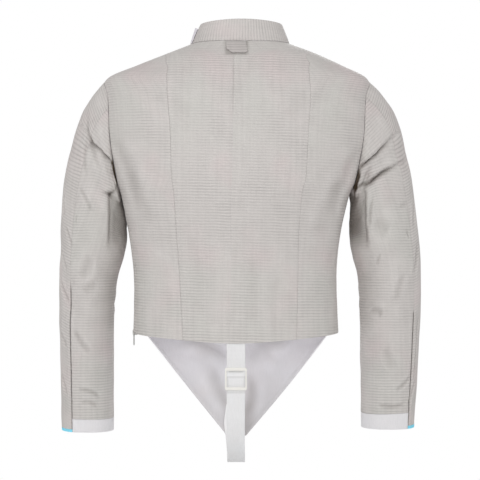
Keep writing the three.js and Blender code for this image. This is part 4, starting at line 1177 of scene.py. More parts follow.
def sleeve_point(side, column, ring):
    """A point of the worn sleeve at a column and a ring, both of which may be fractional."""
    sign = SLEEVES[side]["sign"]
    column, ring = np.broadcast_arrays(np.asarray(column, float), np.asarray(ring, float))
    angle = 360 / SLEEVE_COLUMNS * np.mod(column, SLEEVE_COLUMNS)
    point = tube_point(sign, angle, ring)
    ease = np.maximum(1 - ring / ARMHOLE_EASE, 0) ** 2
    point = point + (armhole_loop(sign, column) - tube_point(sign, angle, 0 * ring)) * ease[..., None]
    inward = tube_middle(sign, ring) - point
    inward /= np.linalg.norm(inward, axis=-1, keepdims=True)
    fade = np.minimum(ring / ARMHOLE_FADE, 1)
    return point + inward * (fold_depth(side, angle, ring) * fade)[..., None]


def fold_side(local, shape):
    """One side of a fold: its trough and the low ridge beside it."""
    trough, ridge, place, width = shape
    return ridge * bell(np.abs(local) - place, width) - bell(local, trough)


def fold_relief(points, out, side):
    """Height in mm from the deep folds, and how deep in a fold each place lies, from 0 to 1."""
    height = np.zeros(points.shape[:2])
    inside = np.zeros(points.shape[:2])
    for line in FOLD_LINES[side]:
        rows = np.array(line, float)
        at = np.linspace(0, len(rows) - 1, 8 * (len(rows) - 1) + 1)
        angle, ring, depth, width = (np.interp(at, np.arange(len(rows)), rows[:, k]) for k in range(4))
        path = sleeve_point(side, angle * SLEEVE_COLUMNS / 360, ring)
        nearest = np.full(height.shape, 1e9)
        aside, deep, wide = np.zeros(height.shape), np.zeros(height.shape), np.ones(height.shape)
        for k in range(len(path) - 1):
            step = path[k + 1] - path[k]
            share = np.clip(((points - path[k]) @ step) / (step @ step), 0, 1)
            away = points - path[k] - share[..., None] * step
            gap = np.linalg.norm(away, axis=-1)
            down = np.cross(out, step)
            down *= -np.sign(down[..., 2:])
            closer = gap < nearest
            nearest = np.where(closer, gap, nearest)
            aside = np.where(closer, gap * np.sign((down * away).sum(-1)), aside)
            deep = np.where(closer, depth[k] + (depth[k + 1] - depth[k]) * share, deep)
            wide = np.where(closer, width[k] + (width[k + 1] - width[k]) * share, wide)
        local = aside / wide
        height += deep * np.where(local < 0, fold_side(local, FOLD_UPPER), fold_side(local, FOLD_LOWER))
        floor_share = bell(local, np.where(local < 0, FLOOR_UPPER, FLOOR_LOWER))
        inside = np.maximum(inside, floor_share * ramp(deep, FOLD_DEPTH_FROM, FOLD_DEPTH_FULL))
    return height, inside


def hollow(side, angle, ring):
    """Height of a sleeve's inner hollow, where its cloth falls in beside the armpit, and its painted shade.
    """
    start, plain, full, end, top, below, until, low, depth, lean, top_lean, low_lean = HOLLOWS[side]
    moved = angle - lean * (ring - below)
    upper = ring + top_lean * (angle - plain)
    lower = ring + low_lean * (angle - plain)
    share = ramp(moved, start, plain) * ramp(upper, top, below) * (1 - ramp(lower, until, low))
    past, gone = HOLLOW_SHADE_PAST
    shade = share * (1 - ramp(angle, end + past, end + gone))
    shade *= HOLLOW_SHADE_LEAST + (1 - HOLLOW_SHADE_LEAST) * ramp(moved, plain, full + HOLLOW_SHADE_FULL)
    return -depth * share * (1 - ramp(angle, full, end)), shade


def step_at(value, place, step):
    """A smooth step that starts and ends at two distances from a place."""
    return ramp(value, place + step[0], place + step[1])


def gap_share(side, angle, ring):
    """Where the slit under the armhole is painted dark: 1 in the slit, 0 a little way outside it."""
    start, end, top, low = GAPS[side]
    round_share = step_at(angle, start, GAP_START) * (1 - step_at(angle, end, GAP_END))
    return round_share * step_at(ring, top, GAP_TOP) * (1 - step_at(ring, low, GAP_LOW))


def slanted(side, ring, points, turns):
    """Height of points along a sleeve whose ribs are turned by an angle that changes down the arm."""
    sign = SLEEVES[side]["sign"]
    fine = np.linspace(0, len(SLEEVE_SECTIONS["outer_x"]) - 1, 700)
    middle = tube_middle(sign, fine)
    turn = turns(fine) * DEGREE
    slope = np.stack([-sign * np.sin(turn), np.zeros_like(turn), np.cos(turn)], -1)
    gained = np.concatenate([[0], np.cumsum((slope[:-1] * np.diff(middle, axis=0)).sum(-1))])
    here, start = np.interp(ring, fine, turn), np.interp(ring, fine, gained)
    away = points - np.stack([np.interp(ring, fine, middle[:, k]) for k in range(3)], -1)
    return start - sign * np.sin(here) * away[..., 0] + np.cos(here) * away[..., 2]


def rib_height(side, angle, ring, points, outward):
    """Second cloth coordinate of a sleeve: slanting ribs on the cap, nearly level ones below it."""
    cap = slanted(side, ring, points, lambda at: CAP_TURN + 0 * at)
    arm = slanted(side, ring, points, lambda at: ARM_TURN * (1 - ramp(at, *ARM_TURN_RINGS)))
    edge_angle, edge_ring = np.array(CAP_EDGE[side], float).T
    below = ramp(ring - np.interp(angle, edge_angle, edge_ring), -CAP_EDGE_WIDTH, CAP_EDGE_WIDTH)
    return cap + (arm - cap) * below - OUTER_SLOPE * outward


loop = armhole_loop(1, np.linspace(0, SLEEVE_COLUMNS, 200))
print("armhole loop in mm:", round(float(travelled(loop[:, None], 0)[-1, 0])))

# %% Sleeve panels


def sleeve_columns(side, part):
    """First and last column of the upper or the under piece."""
    rear, front = SLEEVES[side]["rear"], SLEEVES[side]["front"]
    return (front, rear + SLEEVE_COLUMNS) if part == "upper" else (rear, front)


def sleeve_sheet(name, side, part, start, end, cloth, seed, creased=1.0):
    """One cut piece of a sleeve between two rings, as a creased sheet."""
    sign = SLEEVES[side]["sign"]
    first, last = sleeve_columns(side, part)
    rings = even_rows(lambda at: sleeve_point(side, (first + last) / 2, at), start, end, SLEEVE_STEP)
    width = travelled(sleeve_point(side, np.linspace(first, last, 300), ELBOW_RING)[None], 1)[0, -1]
    columns = first + (last - first) * spread(width, SLEEVE_STEP)[None]
    rings = rings[:, None]
    wide = np.concatenate([columns[:, :1] - EDGE_LOOK, columns, columns[:, -1:] + EDGE_LOOK], axis=1)
    plain = sleeve_point(side, wide, rings)
    out = grid_normals(plain, -sign)[:, 1:-1]
    plain = plain[:, 1:-1]
    for edge, inside in ((0, 1), (-1, -2)):
        inward = plain[:, inside] - plain[:, edge]
        reach = np.linalg.norm(inward, axis=-1, keepdims=True)
        plain[:, edge] += inward / reach * np.minimum(SEAM_GAP / 2, reach * 0.5)
    covered, along = travelled(plain, 1), travelled(plain, 0)
    left, right = covered, covered[:, -1:] - covered
    rear, front = (right, left) if part == "upper" else (left, right)
    angles = np.mod(columns * 360 / SLEEVE_COLUMNS, 360) + 0 * rings
    rings = rings + 0 * columns

    relief = crease_relief(angles, rings, SLEEVE_CREASES[side], SLEEVE_RADIUS, RING_SPACING,
                           SLEEVE_CREASE_SHARP)
    relief *= SLEEVE_CREASE_SCALE * creased
    round_mm, along_mm = angles * SLEEVE_RADIUS * DEGREE, rings * RING_SPACING
    relief += SLEEVE_CRUMPLE * crumple(round_mm, along_mm, SLEEVE_CRUMPLE_SEED + sign) * creased
    relief *= ramp(np.minimum(left, right), 0, SLEEVE_CALM_REACH) * SLEEVE_CALM + (1 - SLEEVE_CALM)
    # painted shade in crease troughs, painted light on their ridges
    crease = crease_shade(relief)
    hollowed, hollow_shade = hollow(side, angles, rings)
    folded, fold_floor = fold_relief(plain, out, side)
    relief += hollowed + folded
    tucked = ramp(angles, *TUCKED_FROM) * (1 - ramp(angles, *TUCKED_TO)) * (1 - ramp(rings, *TUCKED_RINGS))
    relief *= ramp(rings, 0, TOP_CALM_RINGS) * (1 - TUCKED_FLAT * tucked)
    plainer = step_at(rings, REAR_SEAM_FROM[side], REAR_SEAM_STEP)
    rear_shows = REAR_SEAM_FLAT + plainer
    relief += seam_relief(rear, along, seed, rear_shows)
    relief += seam_relief(front, along, seed + LAST_SEED_APART, FRONT_SEAM_SHOWS, FRONT_PUCKER)
    relief += REAR_LAP[part] * plainer * (1 - ramp(rear, *REAR_LAP_REACH)) * creased
    if start == 0:
        relief += seam_relief(along, covered, seed + ARMHOLE_SEED_APART, TOP_SEAM_SHOWS, TOP_PUCKER)
    grid = plain + out * relief[..., None]

    outward = rear if part == "upper" else 0 * rear
    outward = outward * (1 - ramp(angles, *OUTER_FROM) * (1 - ramp(angles, *OUTER_TO)))
    ribs = rib_height(side, angles, rings, plain, np.minimum(outward, OUTER_REACH))
    armhole_distance = along if start == 0 else along + OUT_OF_REACH
    seam = seam_mask((rear, rear_shows), (front, FRONT_SEAM_SHOWS), (armhole_distance, ARMHOLE_SEAM))
    # painted shade of the hollow, the slit and the fold floors, with painted crease shade and light
    if creased:
        shade = HOLLOW_SHADE[side] * hollow_shade + GAP_SHADE * gap_share(side, angles, rings)
        seam = np.minimum(np.maximum(seam, shade + FOLD_SHADE * fold_floor) + crease, DARKEST)
    uv = np.stack([from_middle(covered), ribs], -1)
    PIECES[name] = sheet_mesh("cloth_" + name, grid, -sign, uv, seam, cloth, LINING)
    GRIDS[name] = grid
    print("cloth_" + name, "cut size", cut_size(name, plain), "faces", len(PIECES[name].data.polygons))


for side, seed in (("left", 31), ("right", 61)):
    upper_hem, under_hem, end = (SLEEVES[side][key] for key in ("upper_hem", "under_hem", "end"))
    gap = SEAM_GAP / CUFF_RING_SPACING
    sleeve_sheet("sleeve_upper_" + side, side, "upper", 0, upper_hem, LAME, seed)
    sleeve_sheet("sleeve_under_" + side, side, "under", 0, under_hem, LAME, seed + 1)
    sleeve_sheet("cuff_edge_" + side, side, "upper", upper_hem + gap, end, BLUE, seed + 2, 0)
    sleeve_sheet("cuff_band_" + side, side, "under", under_hem + gap, end, WHITE, seed + 3, 0)

# %% [markdown]
# ## Stand collar
# The collar is one strip with its ribs upright. It starts behind the zip, runs once round the neck
# and laps over its own start at the garment's left, where its free end stands off and shows the
# white lining.

# %% Collar
COLLAR = {
    "from": -50, "to": 366, "lap_start": 280, "lap_end": 308, "lap_out": 2.9, "flare_start": 338,
    "flare_top": 3.4, "flare_foot": 0.6, "end_drop": 5, "seat": 0.7, "lap_rise": 0.5,
}
COLLAR_CREASES = [
    # angle, share of height times 38, angle, the same, bow, width, depth, lean
    (58, 4, 66, 34, 2, 7, 0.5, 0.0),
    (112, 2, 104, 30, -2, 8, 0.5, 0.0),
    (148, 6, 156, 34, 2, 6, 0.6, 0.1),
    (232, 4, 226, 32, 2, 7, 0.6, 0.0),
    (24, 2, 18, 28, -2, 6, 0.6, 0.1),
]
COLLAR_HEIGHT = 38
COLLAR_RADIUS = 68
COLLAR_SHELL, COLLAR_END_FOOT, COLLAR_END_RISE = 1.8, 0.8, 2.2
COLLAR_END_TURN = (-5, -1.5)
COLLAR_STEP, COLLAR_ROW_STEP = 1.6, 3.0
COLLAR_SEAM_SHOWS = 0.3
COLLAR_WAVE, COLLAR_WAVE_SIZES, COLLAR_WAVE_SEED, COLLAR_WAVE_REACH = 0.3, (13, 19, 31), 71, 9
COLLAR_BODY, COLLAR_BODY_STARTS, COLLAR_BODY_ENDS = 0.35, (2.5, 4.5), (34.5, 37.5)


def collar_point(angle, height):
    """Points of the collar: height 0 is its foot on the neck seam, 1 its upper edge."""
    foot = body_point(angle, NECK_LEVEL)
    top = ring_point(COLLAR_TOP, angle)
    rise = top - foot
    rise /= np.linalg.norm(rise, axis=-1, keepdims=True)
    lap = (ramp(angle, COLLAR["lap_start"], COLLAR["lap_end"]) * COLLAR["lap_out"])[..., None]
    foot = foot + rise * (COLLAR["seat"] + COLLAR["lap_rise"] * lap)
    flare = ramp(angle, COLLAR["flare_start"], COLLAR["to"])[..., None]
    top = top - rise * COLLAR["end_drop"] * flare
    share = np.asarray(height, float)[..., None]
    out = np.stack([np.cos(angle * DEGREE), np.sin(angle * DEGREE), 0 * angle], -1)
    flare_out = COLLAR["flare_foot"] + (COLLAR["flare_top"] - COLLAR["flare_foot"]) * share
    return foot + (top - foot) * share + out * (lap + flare * flare_out)


def collar_sheet():
    """The collar as one creased strip, its free end thickened by the cloth turned in there."""
    angles = np.arange(COLLAR["from"], COLLAR["to"] + 1e-6, COLLAR_STEP)[None]
    heights = spread(COLLAR_HEIGHT, COLLAR_ROW_STEP)[:, None]
    angles, heights = np.broadcast_arrays(angles, heights)
    plain = collar_point(angles, heights)
    covered = travelled(plain, 1)
    raised = heights * COLLAR_HEIGHT
    relief = crease_relief(angles, raised, COLLAR_CREASES, COLLAR_RADIUS)
    wavy = ripple(covered, COLLAR_WAVE_SIZES, COLLAR_WAVE_SEED)
    relief += COLLAR_WAVE * wavy * bell(raised, COLLAR_WAVE_REACH)
    relief += COLLAR_BODY * ramp(raised, *COLLAR_BODY_STARTS) * (1 - ramp(raised, *COLLAR_BODY_ENDS))
    grid = plain + grid_normals(plain, 1) * relief[..., None]
    uv = np.stack([raised, covered[len(covered) // 2][None] + 0 * raised], -1)
    turned = step_at(angles, COLLAR["to"], COLLAR_END_TURN) * (COLLAR_END_FOOT + COLLAR_END_RISE * heights)
    print("collar cut size", cut_size("collar", plain))
    seam = seam_mask((raised, COLLAR_SEAM_SHOWS))
    PIECES["collar"] = sheet_mesh("cloth_collar", grid, 1, uv, seam, LAME, LINING,
                                  thickness=(COLLAR_SHELL + turned)[..., None], lined_end=True)
    GRIDS["collar"] = grid


collar_sheet()

# %% [markdown]
# ## Crotch flap
# The flap is a triangle of white cotton that hangs from the front of the hem and is seen from
# inside, under the back. Its edges are turned in and stitched twice. It is a real sheet with soft
# waves, because a flat triangle would catch the light in one even tone. Shade is painted on it too:
# towards its tip, in the troughs of its waves, and as the strap's shadow beside the strap.

# %% Flap
FLAP = {
    "from": 342, "to": 196, "tip_left": 19.5, "tip_right": -14.1, "tip_y": -62, "tip_z": -688,
    "swell_left": 2, "swell_right": 4.5, "seat": 0.5,
}
FLAP_WAVES = [
    # across in mm from the middle, height, the same at the other end, bow, width, depth
    (96, -522, 22, -560, 8, 11, 2.6),
    (60, -512, 6, -530, 4, 9, 2.0),
    (-24, -528, -92, -520, -5, 10, 2.2),
    (-20, -556, -60, -548, 4, 12, 1.6),
    (44, -580, 12, -640, -6, 10, 1.5),
    (-22, -590, -16, -650, 5, 9, 1.8),
    (72, -545, 40, -590, 5, 13, 1.2),
]
WAVE_RIDGE, WAVE_FADE = 0.4, (-0.2, 0.25)
FLAP_WIDTH, FLAP_STEP, FLAP_ROW_STEP = 260, 3.4, 3.2
FLAP_SIDE_CALM, FLAP_TOP_CALM = (2, 18), (3, 18)
FLAP_HEM, FLAP_HEM_ENDS = 0.5, (6.5, 8.0)
# painted shade on the flap: towards its tip, in its wave troughs, and the strap's painted shadow
FLAP_PAINTED_SHADE, FLAP_PAINTED_SHADE_DOWN, FLAP_CREASE_SHADE = 0.95, (0.2, 0.75), 1.6
STRAP_SHADE = 0.6
STRAP_SHADE_ACROSS, STRAP_SHADE_ENDS = (-40, -14), (0, 10)
STRAP_SHADE_DOWN = (622, 668)


def flap_point(across, down):
    """Points of the flap's front face: across 0 is its left edge, down 1 its tip."""
    angle = FLAP["from"] + (FLAP["to"] - FLAP["from"]) * across
    top = body_point(angle, 0 * angle)
    top[..., 2] -= FLAP["seat"]
    tip_x = FLAP["tip_left"] + (FLAP["tip_right"] - FLAP["tip_left"]) * across
    tip = np.stack([tip_x, np.full_like(tip_x, FLAP["tip_y"]), np.full_like(tip_x, FLAP["tip_z"])], -1)
    front_y = body_point(270, 0)[..., 1]
    curve = top[..., 1] - front_y
    point = top + (tip - top) * down[..., None]
    point[..., 1] = front_y + (FLAP["tip_y"] - front_y) * down + curve * (1 - down) ** 2
    edge = (1 - 2 * across) ** 3
    swell = np.where(edge > 0, FLAP["swell_left"], FLAP["swell_right"])
    point[..., 0] += edge * swell * np.sin(np.pi * down)
    return point


def flap_waves(points):
    """Soft troughs in the flap's face, in mm, by where each point is seen from behind."""
    height = np.zeros(points.shape[:2])
    for x0, z0, x1, z1, bow, width, depth in FLAP_WAVES:
        share, aside = beside_line(points[..., 0] - x0, points[..., 2] - z0, x1 - x0, z1 - z0, bow)
        window = ramp(share, *WAVE_FADE) * ramp(1 - share, *WAVE_FADE)
        height += depth * window * (WAVE_RIDGE * bell(np.abs(aside) - 2 * width, width) - bell(aside, width))
    return height


def strap_shade(points):
    """A painted shadow on the flap to the right of the strap near its tip, where the strap hangs close in
    front.
    """
    beside = ramp(points[..., 0], *STRAP_SHADE_ACROSS) * (1 - ramp(points[..., 0], *STRAP_SHADE_ENDS))
    return STRAP_SHADE * beside * ramp(-points[..., 2], *STRAP_SHADE_DOWN)


def flap_sheet():
    """The flap as a waved sheet, with thicker edges where its hem is turned in."""
    columns = spread(FLAP_WIDTH, FLAP_STEP)[None]
    rows = even_rows(lambda at: flap_point(0.5 + 0 * at, at), 0, 1, FLAP_ROW_STEP)[:, None]
    across, down = np.broadcast_arrays(columns, rows)
    plain = flap_point(across, down)
    out = grid_normals(plain, 1)
    out[0, :, 2] = 0
    out[0] /= np.linalg.norm(out[0], axis=-1, keepdims=True)
    covered = travelled(plain, 1)
    side = np.minimum(covered, covered[:, -1:] - covered)
    waves = flap_waves(plain) * (ramp(side, *FLAP_SIDE_CALM) * ramp(travelled(plain, 0), *FLAP_TOP_CALM))
    grid = plain + out * waves[..., None]
    print("flap cut size", cut_size("crotch_flap", plain))
    normals = grid_normals(grid, 1)
    normals[0] = out[0]
    thickness = (SHELL + FLAP_HEM * (1 - ramp(side, *FLAP_HEM_ENDS)))[..., None]
    # painted shade, darker towards the tip and in wave troughs, and the strap's painted shadow
    painted_flap_shade = FLAP_PAINTED_SHADE * ramp(down, *FLAP_PAINTED_SHADE_DOWN) + FLAP_CREASE_SHADE * crease_shade(waves)
    PIECES["crotch_flap"] = sheet_mesh(
        "cloth_crotch_flap", grid, 1, np.stack([from_middle(covered), plain[..., 2]], -1),
        painted_flap_shade + strap_shade(plain), FLAP_WHITE_PAINTED_LIGHTER, FLAP_WHITE_PAINTED_LIGHTER, thickness=thickness, normals=normals)
    GRIDS["crotch_flap"] = grid - normals * thickness


flap_sheet()

# %% [markdown]
# ## Crotch strap
# A strap of 30 mm webbing is sewn inside the back hem, runs down through the buckle, loops under
# and is sewn to the inside of the flap. Webbing is woven with a denser edge, so its two edges are
# a little thicker. It is swept along the same route as its solid, with shade painted on it along the
# buckle's frame and under its top bar.

# %% Strap
STRAP_WIDTH = 30
STRAP_X = 3.2
STRAP_HEM_TURN = 38
HEM_ROW_HEIGHT = 51
CLOTH_SOLID = 2
WEB_THICKNESS = 1.8
STRAP_ROUTE = [
    # y, z, x
    (112, -522, 3.2), (109, -540, 3.2), (105.6, -553.5, 3.2), (105.4, -560, 3.2), (106.6, -566.5, 3.2),
    (106.6, -577.5, 3.2), (105.4, -584, 3.2), (105, -591.5, 3.2), (103, -612, 3.4), (98, -640, 3.6),
    (88, -668, 3.6), (72, -692, 3.4), (51, -710, 3.2), (27, -720, 3.2), (3, -721, 3.2), (-20, -715, 3.8),
    (-40, -703, 5), (-53, -692, 6.4),
]
STRAP_SEWN = [(-681, 8), (-664, 9.6), (-647, 7.6), (-634, 6)]
STRAP_STAND = 0.8
STRAP_LOWERED = 0.2
STRAP_ROWS = 420
STRAP_COLUMNS = np.array([0, 0.5, 1.4, 2.6, 4, 9, 13])
SELVEDGE, SELVEDGE_ENDS, EDGE_ROUNDED, FACE_SUNK = 0.16, (1.4, 2.6), 0.35, 0.1
BUCKLE_OPENING = {"top": -568.5, "bottom": -594.5, "half": 14.6}
# painted shade on the webbing inside the buckle's frame and under its top bar
BUCKLE_SHADE = 1.5
BUCKLE_SHADE_REACH, BUCKLE_SHADE_WIDTH = -1.5, 2.2
BAR_SHADE = 2.6
BAR_TOP = -560.2
BAR_SHADE_WIDTH, BAR_SHADE_ENDS = 1.6, (10, 13)


def strap_middle():
    """The middle line of the strap, from its end inside the hem to its end on the flap."""
    lie = SEAM_GAP + WEB_THICKNESS / 2
    route = []
    for turn in range(4):
        back = body_point(90, STRAP_HEM_TURN / HEM_ROW_HEIGHT * (1 - turn / 3))
        route.append((STRAP_X, back[1] - CLOTH_SOLID - lie - STRAP_LOWERED, back[2]))
    route += [(x, y, z) for y, z, x in STRAP_ROUTE]
    top = body_point(270, 0)
    for z, x in STRAP_SEWN:
        share = (z - top[2]) / (FLAP["tip_z"] - top[2])
        route.append((x, top[1] + (FLAP["tip_y"] - top[1]) * share + CLOTH_SOLID + lie + STRAP_STAND, z))
    return np.array(route)


def buckle_shade(grid):
    """Painted shade on the webbing along the inside of the buckle's frame and below its top bar."""
    x, z = np.abs(grid[..., 0] - STRAP_X), grid[..., 2]
    bar = bell(z - BAR_TOP, BAR_SHADE_WIDTH) * (1 - ramp(x, *BAR_SHADE_ENDS))
    edge = np.minimum(BUCKLE_OPENING["top"] - z, z - BUCKLE_OPENING["bottom"])
    edge = np.minimum(edge, BUCKLE_OPENING["half"] - x)
    frame_edge = np.where(edge > BUCKLE_SHADE_REACH, bell(edge, BUCKLE_SHADE_WIDTH), 0)
    return BAR_SHADE * bar + BUCKLE_SHADE * frame_edge


def strap_sheet():
    """The strap as a ribbon swept along its route."""
    route = strap_middle()
    covered = travelled(route[:, None], 0)[:, 0]
    rows = np.interp(np.linspace(0, covered[-1], STRAP_ROWS), covered, np.arange(len(route)))
    middle = np.stack([smooth(route[:, k], rows) for k in range(3)], -1)
    along = np.gradient(middle, axis=0)
    along[:, 0] = 0
    along /= np.linalg.norm(along, axis=1, keepdims=True)
    out = np.stack([np.zeros(len(along)), -along[:, 2], along[:, 1]], -1)
    across = STRAP_WIDTH / 2 - np.concatenate([STRAP_COLUMNS, STRAP_WIDTH - STRAP_COLUMNS[::-1]])
    from_edge = STRAP_WIDTH / 2 - np.abs(across)
    face = WEB_THICKNESS / 2 - FACE_SUNK + SELVEDGE * (1 - ramp(from_edge, *SELVEDGE_ENDS))
    face -= EDGE_ROUNDED * (from_edge <= 0)
    grid = middle[:, None] + out[:, None] * face[None, :, None]
    grid[..., 0] += across[None]
    length = travelled(middle[:, None], 0)
    uv = np.stack(np.broadcast_arrays(across, length), -1)
    normals = np.broadcast_to(out[:, None], grid.shape)
    # the seam attribute of the strap holds only the buckle's painted shade
    seam = buckle_shade(grid) * (normals[..., 1] > 0)
    cut_size("crotch_strap", grid)
    PIECES["crotch_strap"] = sheet_mesh("cloth_crotch_strap", grid, -1, uv, seam, WEBBING, WEBBING,
                                        thickness=(2 * face)[None, :, None], normals=normals)
    print("strap length in mm:", round(float(length[-1, 0])))


strap_sheet()

# %% [markdown]
# ## Clip tab
# Under the collar a small tab of doubled metal cloth takes the clip of a fencer's cord. Its edge is
# rounded by the turned-in cloth, so it is the solid's own outline with a soft bevel.

# %% Rounded copies of small solids
SAME_POINT = 1e-6
SAME_FACE = math.radians(1)
ROUNDED_ABOVE = math.radians(30)
SHARP_ABOVE = math.radians(40)


def keep_result(obj):
    """Keeps what an object's modifiers make of it as its plain mesh."""
    ready = bpy.data.meshes.new_from_object(obj.evaluated_get(bpy.context.evaluated_depsgraph_get()))
    obj.modifiers.clear()
    obj.data = ready
    print(obj.name, "faces", len(ready.polygons))
    return ready


def rounded_copy(node, name, width, finish):
    """A copy of a CAD node with its doubles merged, its edges rounded and a finish."""
    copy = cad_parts[node].data.copy()
    shape = bmesh.new()
    shape.from_mesh(copy)
    bmesh.ops.remove_doubles(shape, verts=shape.verts, dist=SAME_POINT)
    bmesh.ops.dissolve_limit(shape, angle_limit=SAME_FACE, verts=shape.verts, edges=shape.edges)
    shape.to_mesh(copy)
    shape.free()
    obj = place_object(name, copy)
    bevel = obj.modifiers.new("rounded edges", "BEVEL")
    bevel.width = width * MM
    bevel.segments = 3
    bevel.limit_method = "ANGLE"
    bevel.angle_limit = ROUNDED_ABOVE
    ready = keep_result(obj)
    ready.materials.clear()
    ready.polygons.foreach_set("use_smooth", np.ones(len(ready.polygons), bool))
    ready.set_sharp_from_angle(angle=SHARP_ABOVE)
    ready.materials.append(finish)
    return obj


tab = rounded_copy("clip_tab", "cloth_clip_tab", 0.5, TAB_LAME)
tab_points = np.array([v.co for v in tab.data.vertices])
while tab.data.uv_layers:
    tab.data.uv_layers.remove(tab.data.uv_layers[0])
set_uv(tab.data, tab_points[:, [0, 2]])
PIECES["clip_tab"] = tab

# %% [markdown]
# ## Buckle, slider and pull tab
# The buckle is white moulded plastic, with a fine grain and a soft shine. The zip slider and its
# pull are plated metal. Their shapes come from the solids, with small rounded edges, because an
# edge with no rounding never catches a highlight.

# %% Plastic and metal
MOTTLE_SCALE = 90.0
HARD_ROUGH_SPREAD = 0.2


def hard_finish(name, colour, metal, rough, grain, depth, mottle):
    """A moulded or plated finish, read from Object coordinates."""
    material, tree, shader = new_material(name)
    shader.inputs["Metallic"].default_value = metal
    place = tree.nodes.new("ShaderNodeTexCoord").outputs["Object"]
    fine = noise(tree, place, grain, 3.0)
    level = maths(tree, "MULTIPLY_ADD", noise(tree, place, MOTTLE_SCALE), mottle, 1.0 - mottle / 2)
    connect(tree, shaded(tree, (*colour, 1), level, level, level), shader.inputs["Base Color"])
    uneven_rough = maths(tree, "MULTIPLY_ADD", fine, HARD_ROUGH_SPREAD, rough - HARD_ROUGH_SPREAD / 2)
    connect(tree, uneven_rough, shader.inputs["Roughness"])
    add_bumps(tree, shader, [(fine, depth)])
    return material


PLASTIC = hard_finish("buckle plastic", (0.85, 0.83, 0.785), 0.0, 0.38, 2600.0, 0.00003, 0.05)
ZIP_METAL = hard_finish("zip metal", (0.50, 0.50, 0.48), 0.85, 0.36, 1800.0, 0.00002, 0.2)

buckle = rounded_copy("strap_buckle", "buckle_strap", 0.7, PLASTIC)
slider = rounded_copy("zip_slider", "slider_body", 0.25, ZIP_METAL)
pull = rounded_copy("zip_pull", "slider_pull", 0.25, ZIP_METAL)

# %% [markdown]
# ## Rows along a line: stitches and zip teeth
# Stitches and zip teeth are one small shape repeated along a line, so Geometry Nodes make them. The
# tree turns a drawn line into a curve, spaces points on it, puts the shape on each, turned along the
# line and out of the cloth, and ends in plain faces with a material.

# %% Row tree


def row_tree(name, shape):
    """A tree that repeats a shape along lines: a stitch is a long round bead, a tooth is a block."""
    tree, start, end = new_group(
        name,
        {"Lines": ("NodeSocketGeometry", None), "Spacing": (FLOAT, 0.003), "Length": (FLOAT, 0.0024),
         "Width": (FLOAT, 0.0005), "Height": (FLOAT, 0.0004), "Finish": ("NodeSocketMaterial", None)},
        {"Geometry": "NodeSocketGeometry"},
        "GeometryNodeTree",
    )
    curve = add_node(tree, "GeometryNodeMeshToCurve", Mesh=start["Lines"])
    evenly = tree.nodes.new("GeometryNodeResampleCurve")
    evenly.mode = "LENGTH"
    connect(tree, curve.outputs[0], evenly.inputs["Curve"])
    connect(tree, start["Spacing"], evenly.inputs["Length"])
    if shape == "bead":
        bead = tree.nodes.new("GeometryNodeMeshUVSphere")
        bead.inputs["Segments"].default_value = 6
        bead.inputs["Rings"].default_value = 4
        bead.inputs["Radius"].default_value = 0.5
    else:
        bead = tree.nodes.new("GeometryNodeMeshCube")
        bead.inputs["Size"].default_value = (1, 1, 1)
    size = add_node(tree, "ShaderNodeCombineXYZ", X=start["Height"], Y=start["Width"], Z=start["Length"])
    tangent = tree.nodes.new("GeometryNodeInputTangent")
    turn = tree.nodes.new("FunctionNodeAlignRotationToVector")
    turn.axis = "Z"
    connect(tree, tangent.outputs[0], turn.inputs["Vector"])
    out = tree.nodes.new("GeometryNodeInputNamedAttribute")
    out.data_type = "FLOAT_VECTOR"
    out.inputs["Name"].default_value = "out"
    face_out = tree.nodes.new("FunctionNodeAlignRotationToVector")
    face_out.axis = "X"
    face_out.pivot_axis = "Z"
    connect(tree, turn.outputs[0], face_out.inputs["Rotation"])
    connect(tree, out.outputs["Attribute"], face_out.inputs["Vector"])
    placed = add_node(tree, "GeometryNodeInstanceOnPoints", Points=evenly.outputs[0],
                      Instance=bead.outputs[0], Rotation=face_out.outputs[0], Scale=size.outputs[0])
    real = add_node(tree, "GeometryNodeRealizeInstances", Geometry=placed.outputs[0])
    smooth_faces = add_node(tree, "GeometryNodeSetShadeSmooth", Geometry=real.outputs[0])
    smooth_faces.inputs["Shade Smooth"].default_value = shape == "bead"
    painted = add_node(tree, "GeometryNodeSetMaterial", Geometry=smooth_faces.outputs[0],
                       Material=start["Finish"])
    connect(tree, painted.outputs[0], end["Geometry"])
    return tree


STITCH_ROW = row_tree("Row of stitches", "bead")
TOOTH_ROW = row_tree("Row of zip teeth", "block")


def row_along(name, tree, lines, **sizes):
    """Runs a row tree on lines of (point, outward direction) in mm and keeps the plain mesh."""
    mesh = bpy.data.meshes.new(name)
    points = np.concatenate([line[0] for line in lines]) * MM
    out = np.concatenate([line[1] for line in lines]).astype(np.float32)
    edges = []
    first = 0
    for line in lines:
        count = len(line[0])
        edges += [(first + k, first + k + 1) for k in range(count - 1)]
        first += count
    mesh.from_pydata(points.tolist(), edges, [])
    mesh.attributes.new("out", "FLOAT_VECTOR", "POINT").data.foreach_set("vector", out.ravel())
    obj = place_object(name, mesh)
    row = obj.modifiers.new("row", "NODES")
    row.node_group = tree
    for item in tree.interface.items_tree:
        key = item.name.lower()
        if item.in_out == "INPUT" and key in sizes:
            row[item.identifier] = sizes[key]
    keep_result(obj)
    return obj


# %% [markdown]
# ## Where the sewing runs
# A stitched line is a path on a sheet at a steady distance from its edge. These helpers read such a
# path off the sheet's own grid, so every stitch lies on the creased cloth and not above it. The clip
# tab has two rows of stitches just inside its edge.

# %% Sewing lines
THREAD_LIFT = 0.05


def grid_line(name, side, row=None, column=None, cut=slice(None)):
    """A path along one row or one column of a sheet's grid, with its outward directions."""
    grid = GRIDS[name]
    normals = grid_normals(grid, side)
    pick = (row, cut) if row is not None else (cut, column)
    return grid[pick] + normals[pick] * THREAD_LIFT, normals[pick]


